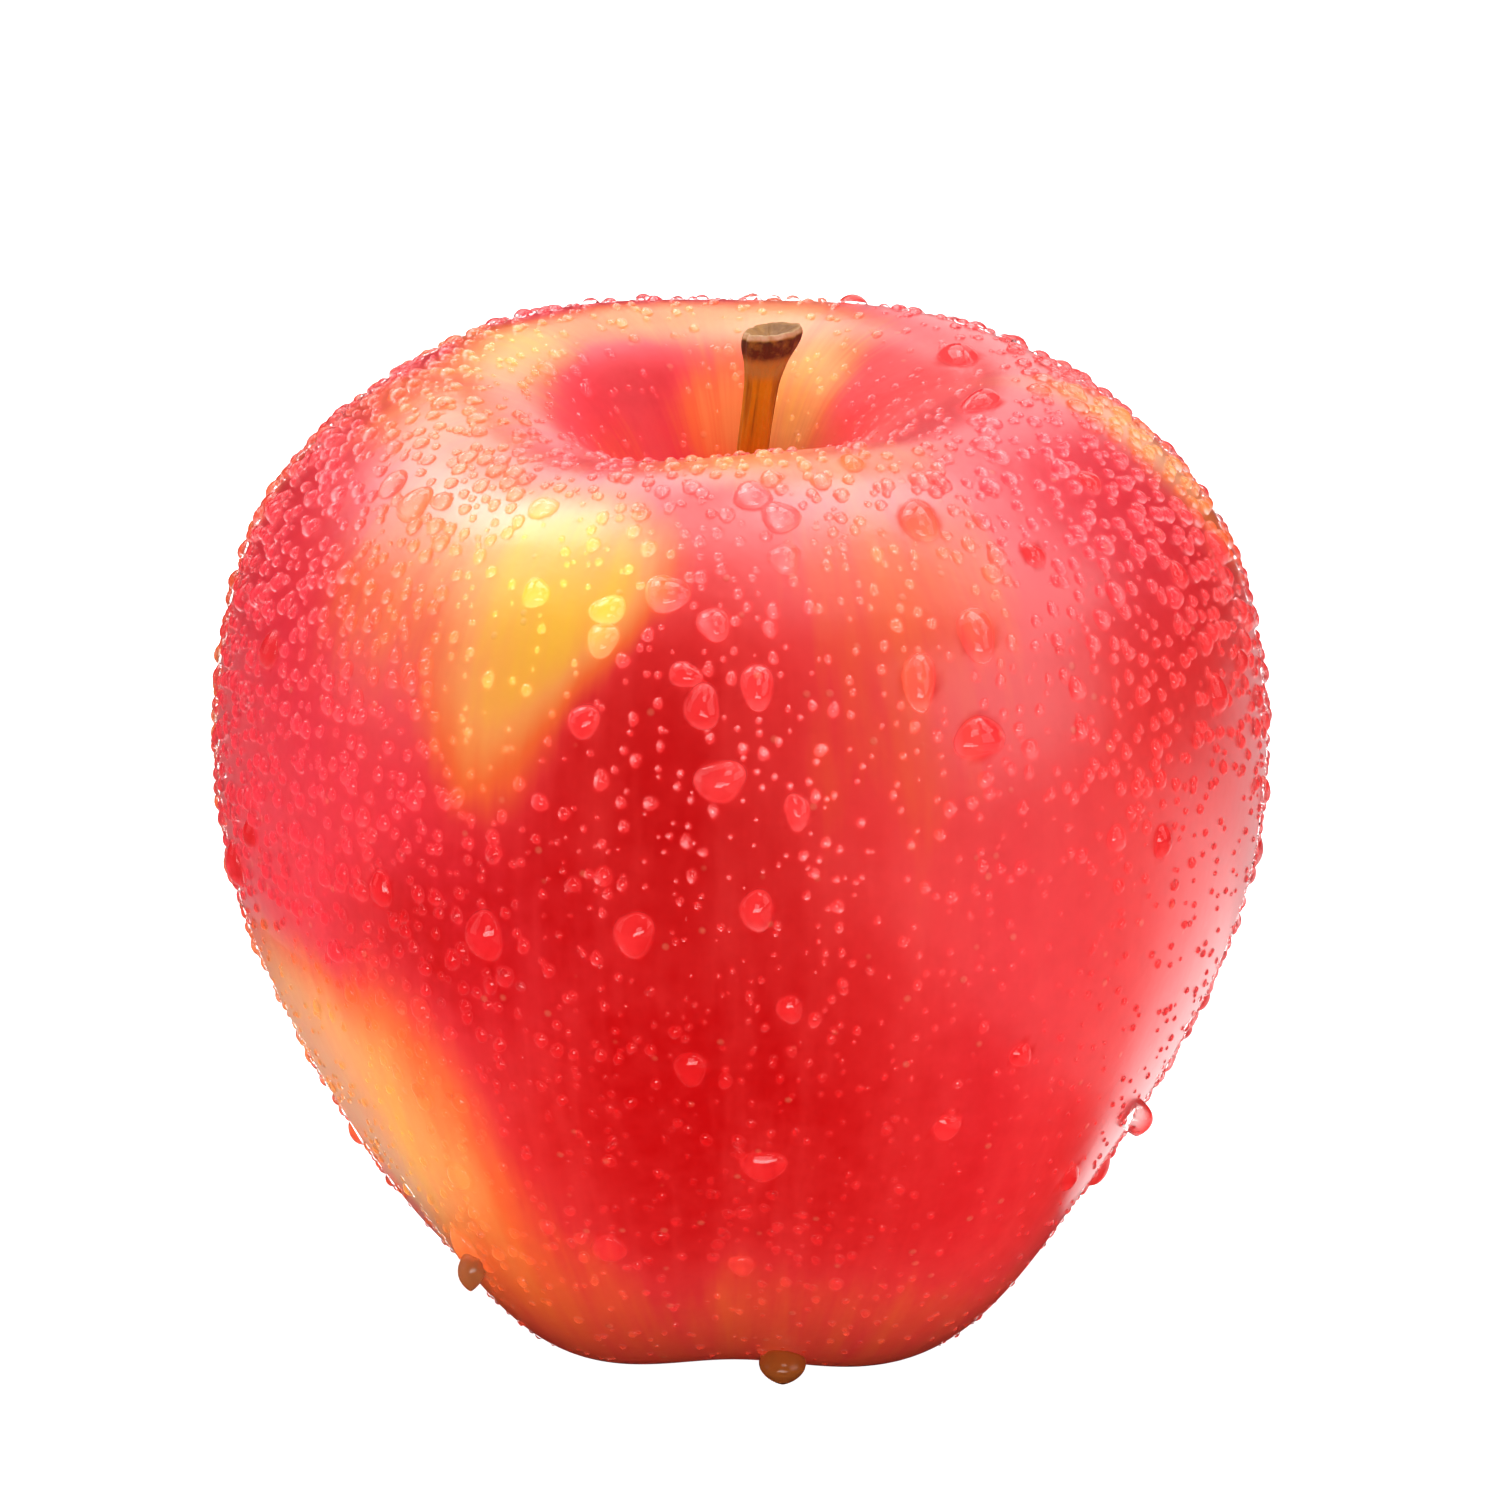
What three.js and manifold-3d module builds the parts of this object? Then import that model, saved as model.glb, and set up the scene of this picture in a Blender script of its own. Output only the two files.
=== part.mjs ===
// A ripe red apple, freshly rinsed: the fruit with its water drops, its woody stem and its dried calyx.
// Millimetres, +Z up. The origin is on the surface it stands on, below the middle of the fruit.
// Azimuths are in degrees, counted from +X towards +Y; the front of the fruit faces -Y (270).

import * as THREE from 'three';
import { mergeVertices } from 'three/addons/utils/BufferGeometryUtils.js';
import { NURBSCurve } from 'three/addons/curves/NURBSCurve.js';
import Module from 'manifold-3d';

const wasm = await Module();
wasm.setup();

// ---------------------------------------------------------------- driving dimensions

// Half of the fruit's section, as the control points of a smooth curve [radius, height].
const PROFILE = [
  [0, 8], [3, 8], // floor of the calyx basin
  [6.5, 4], [10, 0.7], // basin wall
  [18, -1.7], // ring that the fruit stands on
  [27, 6.5], [37, 26.5], // flank, narrow below
  [38, 41.5], [37, 51.5], // widest part
  [34, 61], [23, 70.1], // shoulder
  [16.5, 69], // crest
  [10, 65.8], // wall of the stem cavity
  [5.5, 56.5], [0, 56.5], // floor of the stem cavity
];
const RIBS = 5; // low swellings around the fruit, strongest at the base
const RIB_AZIMUTH = 90; // one rib points straight back, so a valley faces the front
const VALLEY_PINCH = 0.1; // share of its radius that a valley loses at the base
const VALLEY_LIFT = 0.7; // how much higher a valley is than a rib, under the fruit
const CROWN_SWELL = 0.4; // how much higher the crest is between two ribs
const CREST_RISE = 0.95; // how much higher the crest is on its tall side
const CREST_RISE_AZIMUTH = 95;
const CREST_DIP = { depth: 1.3, azimuth: 234, sharpness: 4, from: [7, 13], to: [20, 30] }; // a low place
const CAVITY_SQUEEZE = { depth: 3, azimuth: 0, from: [3, 9], to: [11, 24] }; // its wall stands in here
const OVAL = 0.02; // share by which the fruit is longer one way than the other
const OVAL_AZIMUTH = 144;
const BASE_ZONE = [4, 46]; // heights between which the ribs of the base die out
const LIFT_ZONE = [0, 26]; // heights between which the valleys' lift dies out
const CROWN_ZONE = [42, 68]; // heights between which the crown's own form comes in
const BASIN_ZONE = [2, 12]; // radii between which the valleys' lift starts
const CAVITY_ZONE = [4, 18]; // radii between which the crown's swell starts
const HEART_HEIGHT = 35; // latitudes on the fruit are seen from this height on its axis
const STEP = { round: 0.5, up: 0.002 }; // degrees and share of the profile that slopes are taken over

const BASIN_END = 0.05; // place along the profile past which latitudes only rise
const HALVINGS = 40; // halvings of the profile when a latitude is looked for

const SECTION_STEPS = 42; // facets along the profile
const ROUND_STEPS = 56; // facets around the fruit

const GAP = 0.3; // clearance between two pieces that touch

// Water drops: [azimuth, latitude, width, length down the slope].
const LARGE_DROPS = [
  [261, 41, 3.0, 3.0], [267, 38, 2.3, 2.4], [254, 39, 2.6, 2.2], [254, 36, 2.4, 2.4],
  [244, 40, 2.0, 2.4], [272, 32, 2.4, 3.0], [266, 30, 2.6, 3.0], [264, 33, 2.3, 1.8],
  [268, 23, 3.6, 2.9], [276, 50, 2.6, 3.0], [272, 53, 2.9, 2.8], [276, 45, 2.4, 2.4],
  [218, 46, 2.7, 3.0], [298, 36, 2.9, 3.8], [290, 32, 2.4, 4.0], [296, 26, 3.6, 3.0],
  [276, 20, 1.8, 2.6], [259, 7, 3.0, 3.3], [20, 62, 4.4, 2.6], [337, 61, 4.4, 2.6],
  [242, 5, 2.8, 4.0], [273, -22, 3.2, 3.0], [211, 47, 2.0, 2.6], [310, 43, 1.8, 2.2],
];
const DROP_HEIGHT = 0.42; // a drop's height over its width
const SCATTER = {
  count: 60, lowest: -42, highest: 62, smallest: 1.8, largest: 3.2, spacing: 5.5, seed: 7,
};
// Drops about to fall: [azimuth, latitude, half width, half length, how far they hang below the skin].
const HANGING_DROPS = [
  [331, -24, 1.5, 1.7, 0.9],
  [226, -41, 1.2, 1.9, 1.1],
  [279, -57, 1.5, 1.7, 0.7],
];
const DROP_SIDES = 7;
const DROP_RINGS = 4;

// The stem's outline [radius, height above its root], and the line it grows along.
const STEM_OUTLINE = [
  [0, 0], [1.2, 0.2], [1.5, 2], [1.5, 4.6], [1.25, 7], [1.12, 10], [1.12, 12.5], [1.15, 14.6],
  [1.3, 16.2], [1.6, 17.5], [2.02, 18.7], [2.12, 19.5], [1.95, 20], [1.3, 19.8], [0, 19.5],
];
const STEM_ROOT = new THREE.Vector3(-0.1, 0, 52.5);
const STEM_LEAN = new THREE.Vector2(2.4, -0.2); // sideways reach from root to tip
const STEM_BOW = new THREE.Vector2(-0.3, 0.5); // how far its middle bows out of that line
const STEM_LENGTH = 20;
const STEM_SIDES = 14;
const STEM_RIDGES = 3; // shallow ridges along the wood
const STEM_RIDGE_DEPTH = 0.05;
const STEM_RIDGE_TWIST = 2; // radians that the ridges' pattern turns by from root to tip
const KNOB_START = 15.5; // height where the stem flares into its knob
const KNOB_TILT = 0.16; // slope of the knob's cut face, down towards the front
const KNOB_LIP = 0.22; // share by which the knob's lip stands out
const KNOB_LIP_AZIMUTH = 8;
const KNOB_LIP_SHARPNESS = 6; // the higher, the narrower the lip
const SOCKET_TOP = 8; // how high above the stem's root the socket goes

// The calyx: a small cup in the basin's floor, with five dried sepals and what is left of the stamens.
const CUP_OUTLINE = [[0, 7.3], [1.7, 7.4], [2.4, 7.8], [2.6, 8.3], [2.6, 9.6], [0, 9.6]];
const RECESS = { radius: 2.9, bottom: 6, top: 9.9 };
const CUP_SIDES = 20;
const SEPAL = {
  length: 6.4, width: 2.3, thickness: 0.7, root: 1.9, rootHeight: 8.3, // root: radius that it springs from
  hug: 0.3, bellyEnd: 0.7, flare: 1.7, // how far its belly pulls in and where that ends; its tip's curl
  cup: 0.18, // how much its edges bend inwards
  point: 0.97, taper: 0.25, // how far its width closes to a point, and how much it narrows before that
  droop: 0.22, // share of its length that its curl takes back
  twist: 14,
  facets: [2, 1, 7],
};
const STAMENS = {
  count: 7, radius: 0.6, length: 2.6, thickness: 0.34, taper: 0.7, splay: 0.1, rootHeight: 8, sides: 5,
};

// ---------------------------------------------------------------- solids

/** Turns a closed three.js geometry into a solid that can be joined and cut. */
function solidFrom(geometry) {
  const bare = new THREE.BufferGeometry();
  bare.setAttribute('position', geometry.getAttribute('position').clone());
  if (geometry.index) bare.setIndex(geometry.index.clone());
  const merged = mergeVertices(bare, 1e-5);
  const index = merged.index.array;
  const triangles = [];
  for (let i = 0; i < index.length; i += 3) {
    const [a, b, c] = [index[i], index[i + 1], index[i + 2]];
    if (a !== b && b !== c && c !== a) triangles.push(a, b, c);
  }
  return new wasm.Manifold(new wasm.Mesh({
    numProp: 3,
    vertProperties: new Float32Array(merged.getAttribute('position').array),
    triVerts: new Uint32Array(triangles),
  }));
}

/** Turns a solid into a named mesh with its own material. */
function meshFrom(solid, name, finish) {
  const { vertProperties, triVerts } = solid.getMesh();
  const geometry = new THREE.BufferGeometry();
  geometry.setAttribute('position', new THREE.Float32BufferAttribute(vertProperties, 3));
  geometry.setIndex(new THREE.Uint32BufferAttribute(triVerts, 1));
  geometry.computeVertexNormals();
  const mesh = new THREE.Mesh(geometry, new THREE.MeshStandardMaterial(finish));
  mesh.name = name;
  return mesh;
}

/** Moves every vertex of a geometry to where place(point) puts it. */
function reshape(geometry, place) {
  const position = geometry.getAttribute('position');
  const point = new THREE.Vector3();
  for (let i = 0; i < position.count; i += 1) {
    place(point.fromBufferAttribute(position, i));
    position.setXYZ(i, point.x, point.y, point.z);
  }
  return geometry;
}

/** A solid of revolution about the Z axis, from [radius, height] pairs that go up the outside. */
function turned(outline, sides) {
  const points = outline.map(([radius, height]) => new THREE.Vector2(radius, height));
  return new THREE.LatheGeometry(points, sides).rotateX(Math.PI / 2);
}

const { smoothstep, degToRad, lerp } = THREE.MathUtils;

// ---------------------------------------------------------------- form of the fruit

/** The fruit's half section as one smooth curve, from the basin's floor to the cavity's. */
function profileCurve() {
  const degree = 3;
  const inner = PROFILE.length - degree;
  const knots = [
    ...Array(degree).fill(0),
    ...Array.from({ length: inner + 1 }, (_, i) => i / inner),
    ...Array(degree).fill(1),
  ];
  return new NURBSCurve(degree, knots, PROFILE.map(([r, z]) => new THREE.Vector4(r, z, 0, 1)));
}

const profile = profileCurve();

/** 1 where a number is between two soft ends, 0 outside them. */
function between(value, { from, to }) {
  return smoothstep(value, ...from) * (1 - smoothstep(value, ...to));
}

/** Moves a point of the plain turned fruit to its place on the ribbed, slightly oval one. */
function growFruit(point) {
  const radius = Math.hypot(point.x, point.y);
  const azimuth = Math.atan2(point.y, point.x);
  const height = point.z;
  const valley = (1 - Math.cos(RIBS * (azimuth - degToRad(RIB_AZIMUTH)))) / 2;
  const low = 1 - smoothstep(height, ...BASE_ZONE);
  const crown = smoothstep(height, ...CROWN_ZONE);
  const oval = OVAL * Math.cos(2 * (azimuth - degToRad(OVAL_AZIMUTH)));
  const toSqueeze = (1 + Math.cos(azimuth - degToRad(CAVITY_SQUEEZE.azimuth))) / 2;
  const squeeze = CAVITY_SQUEEZE.depth * toSqueeze * crown * between(radius, CAVITY_SQUEEZE);
  const grown = radius * (1 - VALLEY_PINCH * valley * low + oval) - squeeze;
  const under = (1 - smoothstep(height, ...LIFT_ZONE)) * smoothstep(radius, ...BASIN_ZONE);
  const lift = VALLEY_LIFT * valley * under;
  const swell = CROWN_SWELL * valley * crown * smoothstep(radius, ...CAVITY_ZONE);
  const rise = CREST_RISE * Math.cos(azimuth - degToRad(CREST_RISE_AZIMUTH)) * crown;
  const toDip = Math.max(0, Math.cos(azimuth - degToRad(CREST_DIP.azimuth))) ** CREST_DIP.sharpness;
  const dip = CREST_DIP.depth * toDip * crown * between(radius, CREST_DIP);
  // What would sink below the surface that the fruit stands on is pressed flat, which makes its five feet.
  const tall = Math.max(0, height + lift + swell + rise - dip);
  return point.set(grown * Math.cos(azimuth), grown * Math.sin(azimuth), tall);
}

/** Finds the place along the profile whose latitude, seen from the heart, is the one asked for. */
function profileAtLatitude(latitude) {
  const wanted = degToRad(latitude);
  let [low, high] = [BASIN_END, 1];
  for (let i = 0; i < HALVINGS; i += 1) {
    const middle = (low + high) / 2;
    const { x: radius, y: height } = profile.getPoint(middle);
    if (Math.atan2(height - HEART_HEIGHT, radius) < wanted) low = middle;
    else high = middle;
  }
  return (low + high) / 2;
}

/** The point of the skin at an azimuth in degrees and a place along the profile. */
function skinPoint(azimuth, place) {
  const { x: radius, y: height } = profile.getPoint(place);
  const turn = degToRad(azimuth);
  return growFruit(new THREE.Vector3(radius * Math.cos(turn), radius * Math.sin(turn), height));
}

/** A right-handed frame on the skin: X along the parallel, Y up the slope, Z out of the skin. */
function skinFrame(azimuth, latitude) {
  const place = profileAtLatitude(latitude);
  const position = skinPoint(azimuth, place);
  const along = skinPoint(azimuth + STEP.round, place)
    .sub(skinPoint(azimuth - STEP.round, place)).normalize();
  const slope = skinPoint(azimuth, place + STEP.up).sub(skinPoint(azimuth, place - STEP.up)).normalize();
  const outward = new THREE.Vector3().crossVectors(along, slope).normalize();
  slope.crossVectors(outward, along);
  return { position, basis: new THREE.Matrix4().makeBasis(along, slope, outward) };
}

/** A drop lying on the skin, its root sunk in the fruit. */
function lyingDrop([azimuth, latitude, width, length]) {
  const { position, basis } = skinFrame(azimuth, latitude);
  return new THREE.SphereGeometry(1, DROP_SIDES, DROP_RINGS)
    .rotateX(Math.PI / 2)
    .scale(width / 2, length / 2, DROP_HEIGHT * width)
    .applyMatrix4(basis)
    .translate(...position);
}

/** A drop that hangs off the skin, longer than wide, straight below its hold. */
function hangingDrop([azimuth, latitude, halfWidth, halfLength, hang]) {
  const { position } = skinFrame(azimuth, latitude);
  return new THREE.SphereGeometry(1, DROP_SIDES, DROP_RINGS + 1)
    .rotateX(Math.PI / 2)
    .scale(halfWidth, halfWidth, halfLength)
    .translate(position.x, position.y, position.z - hang);
}

/** A small seeded generator of numbers between 0 and 1. */
function seededRandom(seed) {
  let state = seed;
  return () => {
    state = (state * 16807) % 2147483647;
    return state / 2147483647;
  };
}

/** Drops of a middle size, spread evenly over the fruit at random, clear of the large ones. */
function scatteredDrops() {
  const random = seededRandom(SCATTER.seed);
  const lowest = Math.sin(degToRad(SCATTER.lowest));
  const highest = Math.sin(degToRad(SCATTER.highest));
  const taken = LARGE_DROPS.map(([azimuth, latitude]) => skinFrame(azimuth, latitude).position);
  const drops = [];
  while (drops.length < SCATTER.count) {
    const azimuth = 360 * random();
    const latitude = THREE.MathUtils.radToDeg(Math.asin(lerp(lowest, highest, random())));
    const width = lerp(SCATTER.smallest, SCATTER.largest, random() ** 2);
    const length = width * lerp(1, 1.35, random());
    const { position } = skinFrame(azimuth, latitude);
    if (taken.every((other) => other.distanceTo(position) > SCATTER.spacing)) {
      taken.push(position);
      drops.push([azimuth, latitude, width, length]);
    }
  }
  return drops;
}

/** The fruit: skin, basin, cavity and drops in one solid, with places cut for the stem and the calyx. */
function makeFruit() {
  const section = profile.getPoints(SECTION_STEPS).map(({ x, y }) => [x, y]);
  const body = solidFrom(reshape(turned(section, ROUND_STEPS), growFruit));
  const drops = [
    ...[...LARGE_DROPS, ...scatteredDrops()].map(lyingDrop),
    ...HANGING_DROPS.map(hangingDrop),
  ];
  const wet = drops.reduce((solid, drop) => solid.add(solidFrom(drop)), body);
  return wet.subtract(makeStemSocket()).subtract(makeCalyxRecess());
}

// ---------------------------------------------------------------- stem

/** Bends a point of the straight stem along the line it grows on, and gives the knob its tilt and lip. */
function growStem(point) {
  const azimuth = Math.atan2(point.y, point.x);
  const share = point.z / STEM_LENGTH;
  const bow = 4 * share * (1 - share);
  const knob = smoothstep(point.z, KNOB_START, STEM_LENGTH);
  const lip = Math.max(0, Math.cos(azimuth - degToRad(KNOB_LIP_AZIMUTH))) ** KNOB_LIP_SHARPNESS;
  const ridge = STEM_RIDGE_DEPTH * Math.cos(STEM_RIDGES * azimuth + STEM_RIDGE_TWIST * share);
  const girth = 1 + ridge + KNOB_LIP * lip * knob;
  const [x, y] = [point.x * girth, point.y * girth];
  return point.set(
    STEM_ROOT.x + STEM_LEAN.x * share + STEM_BOW.x * bow + x,
    STEM_ROOT.y + STEM_LEAN.y * share + STEM_BOW.y * bow + y,
    STEM_ROOT.z + point.z + KNOB_TILT * y * knob,
  );
}

/** The woody stem, from its root in the fruit to the knob where it left the branch. */
function makeStem() {
  return solidFrom(reshape(turned(STEM_OUTLINE, STEM_SIDES), growStem));
}

/** The hole in the fruit that the stem's root sits in, wider than the root by the clearance. */
function makeStemSocket() {
  const hold = STEM_OUTLINE.filter(([radius, height]) => radius > 0 && height < SOCKET_TOP);
  const outline = [
    [0, -GAP],
    ...hold.map(([radius, height], i) => [radius + GAP, i === 0 ? height - GAP : height]),
    [0, hold.at(-1)[1]],
  ];
  return solidFrom(reshape(turned(outline, STEM_SIDES * 2), growStem));
}

// ---------------------------------------------------------------- calyx

/** One dried sepal: a thin pointed blade that hugs the basin's middle, then curls outwards at its tip. */
function sepal(index) {
  const turn = degToRad(RIB_AZIMUTH + (360 / RIBS) * (index + 0.5));
  const blade = new THREE.BoxGeometry(1, 1, 1, ...SEPAL.facets);
  reshape(blade, (point) => {
    const share = 0.5 - point.z; // 0 at the root, 1 at the tip
    const curl = share ** 3;
    const width = SEPAL.width * Math.sqrt(1 - SEPAL.point * share) * (1 - SEPAL.taper * share);
    const side = -point.x * width;
    const belly = SEPAL.hug * Math.sin(Math.PI * Math.min(1, share / SEPAL.bellyEnd));
    const reach = SEPAL.root - belly + SEPAL.flare * curl + point.y * SEPAL.thickness;
    const height = SEPAL.rootHeight - SEPAL.length * (share - SEPAL.droop * curl);
    return point.set(reach - SEPAL.cup * side * side, side, height);
  });
  return blade.rotateZ(turn + degToRad(SEPAL.twist));
}

/** One withered stamen: a short bristle that leans outwards. */
function stamen(index) {
  const { count, radius, length, thickness, taper, splay, rootHeight, sides } = STAMENS;
  const turn = (2 * Math.PI * index) / count;
  const bristle = new THREE.CylinderGeometry(thickness, thickness * taper, length, sides)
    .rotateX(Math.PI / 2);
  return reshape(bristle, (point) => {
    const share = 0.5 - point.z / length;
    const reach = radius + splay * share * length;
    const height = point.z + rootHeight - length / 2;
    return point.set(point.x + reach * Math.cos(turn), point.y + reach * Math.sin(turn), height);
  });
}

/** The dried calyx: cup, sepals and stamens, grown together. */
function makeCalyx() {
  const cup = solidFrom(turned(CUP_OUTLINE, CUP_SIDES));
  const sepals = Array.from({ length: RIBS }, (_, i) => sepal(i));
  const stamens = Array.from({ length: STAMENS.count }, (_, i) => stamen(i));
  return [...sepals, ...stamens].reduce((solid, piece) => solid.add(solidFrom(piece)), cup);
}

/** The hole in the basin's floor that the calyx sits in. */
function makeCalyxRecess() {
  const { radius, bottom, top } = RECESS;
  const plug = new THREE.CylinderGeometry(radius, radius, top - bottom, CUP_SIDES).rotateX(Math.PI / 2);
  return solidFrom(plug.translate(0, 0, (top + bottom) / 2));
}

// ---------------------------------------------------------------- the apple

const apple = new THREE.Group();
apple.name = 'red_apple';
apple.add(
  meshFrom(makeFruit(), 'fruit', { color: 0xd3202a, roughness: 0.3, metalness: 0 }),
  meshFrom(makeStem(), 'stem', { color: 0x8a5a22, roughness: 0.75, metalness: 0 }),
  meshFrom(makeCalyx(), 'calyx', { color: 0x5f4630, roughness: 0.9, metalness: 0 }),
);

export default apple;
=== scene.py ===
"""A ripe red apple, rinsed and still wet: skin, water drops, stem and calyx, in a white studio."""

from __future__ import annotations

import logging
from dataclasses import dataclass
from enum import Enum
from typing import Any, Sequence

import bpy
import numpy as np
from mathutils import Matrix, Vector

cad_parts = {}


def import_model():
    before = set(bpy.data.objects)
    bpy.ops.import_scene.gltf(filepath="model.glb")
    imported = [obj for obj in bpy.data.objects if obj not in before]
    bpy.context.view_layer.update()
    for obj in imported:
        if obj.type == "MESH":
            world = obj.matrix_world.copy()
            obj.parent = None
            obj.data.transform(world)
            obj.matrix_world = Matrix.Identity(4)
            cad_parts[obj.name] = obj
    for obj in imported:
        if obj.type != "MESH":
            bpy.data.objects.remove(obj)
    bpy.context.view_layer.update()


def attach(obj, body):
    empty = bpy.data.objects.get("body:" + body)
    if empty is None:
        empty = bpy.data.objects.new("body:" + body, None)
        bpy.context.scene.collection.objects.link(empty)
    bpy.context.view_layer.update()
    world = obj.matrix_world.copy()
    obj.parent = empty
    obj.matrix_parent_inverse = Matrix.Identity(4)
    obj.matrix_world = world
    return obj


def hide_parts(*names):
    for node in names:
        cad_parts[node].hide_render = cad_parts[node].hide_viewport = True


MM = 0.001
BODY = "root"
LOG = logging.getLogger("apple")

TINY = 1e-12
WHITE = (1.0, 1.0, 1.0)

Array = np.ndarray
Colour = tuple[float, float, float]
Pair = tuple[float, float]
Surface = tuple[Array, Array, Array]
Wave = tuple[float, float, float, float]
Pattern = tuple[float, float, float]


# ------------------------------------------------------------------ numbers on arrays


def ease(low: float, high: float, value: Array) -> Array:
    """Rises smoothly from 0 at low to 1 at high, as 3 s^2 - 2 s^3 of the share s between them.

    Args:
        low: Where the rise starts.
        high: Where the rise ends.
        value: The numbers to map.

    Returns:
        The risen values, of value's shape.
    """
    share = np.clip((value - low) / (high - low), 0, 1)
    return share * share * (3 - 2 * share)


def between(value: Array, rising: Pair, falling: Pair) -> Array:
    """1 where value lies between two soft ends, and 0 outside them."""
    return ease(*rising, value) * (1 - ease(*falling, value))


def cosine_from(azimuth: float, turn: Array, times: int = 1) -> Array:
    """The cosine of some times the angle from an azimuth in degrees to each turn in radians."""
    return np.cos(times * (turn - np.radians(azimuth)))


def around(count: int) -> Array:
    """Angles in radians of evenly spaced points around, as one row."""
    return np.linspace(0, 2 * np.pi, count, endpoint=False)[None, :]


def unit(vectors: Array) -> Array:
    """Each vector along the last axis, divided by its length."""
    return vectors / np.maximum(np.linalg.norm(vectors, axis=-1, keepdims=True), TINY)


def spline(control: Array, places: Array) -> Array:
    """A clamped cubic B-spline with evenly spaced knots: the sum of each control point times its basis.

    The last place is taken just before 1, so that it lies inside the last span.

    Args:
        control: The control points, one a row.
        places: Where to take the curve, from 0 to 1.

    Returns:
        One point for each place.
    """
    degree, count = 3, len(control)
    inner = np.linspace(0, 1, count - degree + 1)
    knots = np.concatenate([np.zeros(degree), inner, np.ones(degree)])
    at = np.clip(places, 0, 1 - 1e-9)[:, None]
    basis = ((knots[:-1] <= at) & (at < knots[1:])).astype(float)
    for order in range(1, degree + 1):
        width = knots[order:] - knots[:-order]
        safe = np.where(width > 0, width, 1.0)
        rising = np.where(width > 0, (at - knots[:-order]) / safe, 0.0)[:, :-1] * basis[:, :-1]
        falling = np.where(width > 0, (knots[order:] - at) / safe, 0.0)[:, 1:] * basis[:, 1:]
        basis = rising + falling
    return basis @ control


# ------------------------------------------------------------------ meshes from arrays


def build_mesh(name: str, points: Array, quads: Array, triangles: Array) -> bpy.types.Object:
    """Makes a smooth-shaded mesh object at the origin from whole arrays.

    Args:
        name: The object's and its mesh's name.
        points: Vertices in metres, one a row.
        quads: Vertex numbers of the four-sided faces.
        triangles: Vertex numbers of the three-sided faces.

    Returns:
        The new object, linked to the scene.
    """
    mesh = bpy.data.meshes.new(name)
    mesh.vertices.add(len(points))
    mesh.vertices.foreach_set("co", points.astype(np.float32).ravel())
    corners = np.concatenate([quads.ravel(), triangles.ravel()]).astype(np.int32)
    sizes = np.concatenate([np.full(len(quads), 4), np.full(len(triangles), 3)])
    starts = np.concatenate([[0], np.cumsum(sizes)[:-1]]).astype(np.int32)
    mesh.loops.add(len(corners))
    mesh.loops.foreach_set("vertex_index", corners)
    mesh.polygons.add(len(sizes))
    mesh.polygons.foreach_set("loop_start", starts)
    mesh.polygons.foreach_set("use_smooth", np.ones(len(sizes), bool))
    mesh.update(calc_edges=True)
    mesh.validate()
    item = bpy.data.objects.new(name, mesh)
    bpy.context.scene.collection.objects.link(item)
    return item


def loft(rings: Array, first: Array, last: Array) -> Surface:
    """Closes stacks of rings, each stack from one end point to another, into faces that look outwards.

    Ring i of a stack joins ring i + 1 by quads, and each end point joins its nearest ring by triangles.

    Args:
        rings: Points of shape (stacks, rings, points around, 3), each ring counter-clockwise as seen
            from the last end point.
        first: The end point before the first ring, of shape (stacks, 3).
        last: The end point after the last ring, of the same shape.

    Returns:
        The points, the quads and the triangles.
    """
    stacks, count, sides, _ = rings.shape
    points = np.concatenate([rings.reshape(stacks, -1, 3), first[:, None], last[:, None]], axis=1)
    size = points.shape[1]
    row = np.arange(count - 1)[:, None] * sides
    here = np.arange(sides)[None, :]
    there = (here + 1) % sides
    quad = np.stack([row + here, row + there, row + sides + there, row + sides + here], -1)
    here, there = here[0], there[0]
    top = (count - 1) * sides
    low_end, high_end = np.full(sides, size - 2), np.full(sides, size - 1)
    fan = np.concatenate([
        np.stack([low_end, there, here], -1), np.stack([high_end, top + here, top + there], -1),
    ])
    shift = np.arange(stacks)[:, None, None] * size
    quads = (quad.reshape(1, -1, 4) + shift).reshape(-1, 4)
    triangles = (fan[None] + shift).reshape(-1, 3)
    return points.reshape(-1, 3), quads, triangles


def loft_one(rings: Array) -> Surface:
    """Closes one stack of rings at the middles of its first and its last ring."""
    ends = rings[[0, -1]].mean(1)
    return loft(rings[None], ends[:1], ends[1:])


def merge_parts(parts: Sequence[Surface]) -> Surface:
    """Puts several sets of points, quads and triangles into one, with their vertex numbers shifted.

    Args:
        parts: Each part's points, quads and triangles.

    Returns:
        The same of the whole.
    """
    sizes = [len(points) for points, _, _ in parts]
    shifts = np.concatenate([[0], np.cumsum(sizes)[:-1]])
    return (
        np.concatenate([points for points, _, _ in parts]),
        np.concatenate([quads + shift for (_, quads, _), shift in zip(parts, shifts)]),
        np.concatenate([fans + shift for (_, _, fans), shift in zip(parts, shifts)]),
    )


def store(item: bpy.types.Object, name: str, grid: Array) -> None:
    """Writes what a lofted mesh's rings hold into an attribute, and each end point takes its ring's mean.

    Args:
        item: The object, whose mesh is one stack of rings.
        name: The attribute's name.
        grid: Numbers of shape (rings, points around), or vectors with one axis more.
    """
    vectors = grid.ndim == 3
    width = 3 if vectors else 1
    flat = np.concatenate([grid.reshape(-1, width), grid[[0, -1]].mean(1).reshape(-1, width)])
    layer = item.data.attributes.new(name, "FLOAT_VECTOR" if vectors else "FLOAT", "POINT")
    layer.data.foreach_set("vector" if vectors else "value", flat.astype(np.float32).ravel())


def triangles_in(item: bpy.types.Object) -> int:
    """How many triangles an object's mesh has."""
    return sum(len(face.vertices) - 2 for face in item.data.polygons)


# ------------------------------------------------------------------ shader maths


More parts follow.
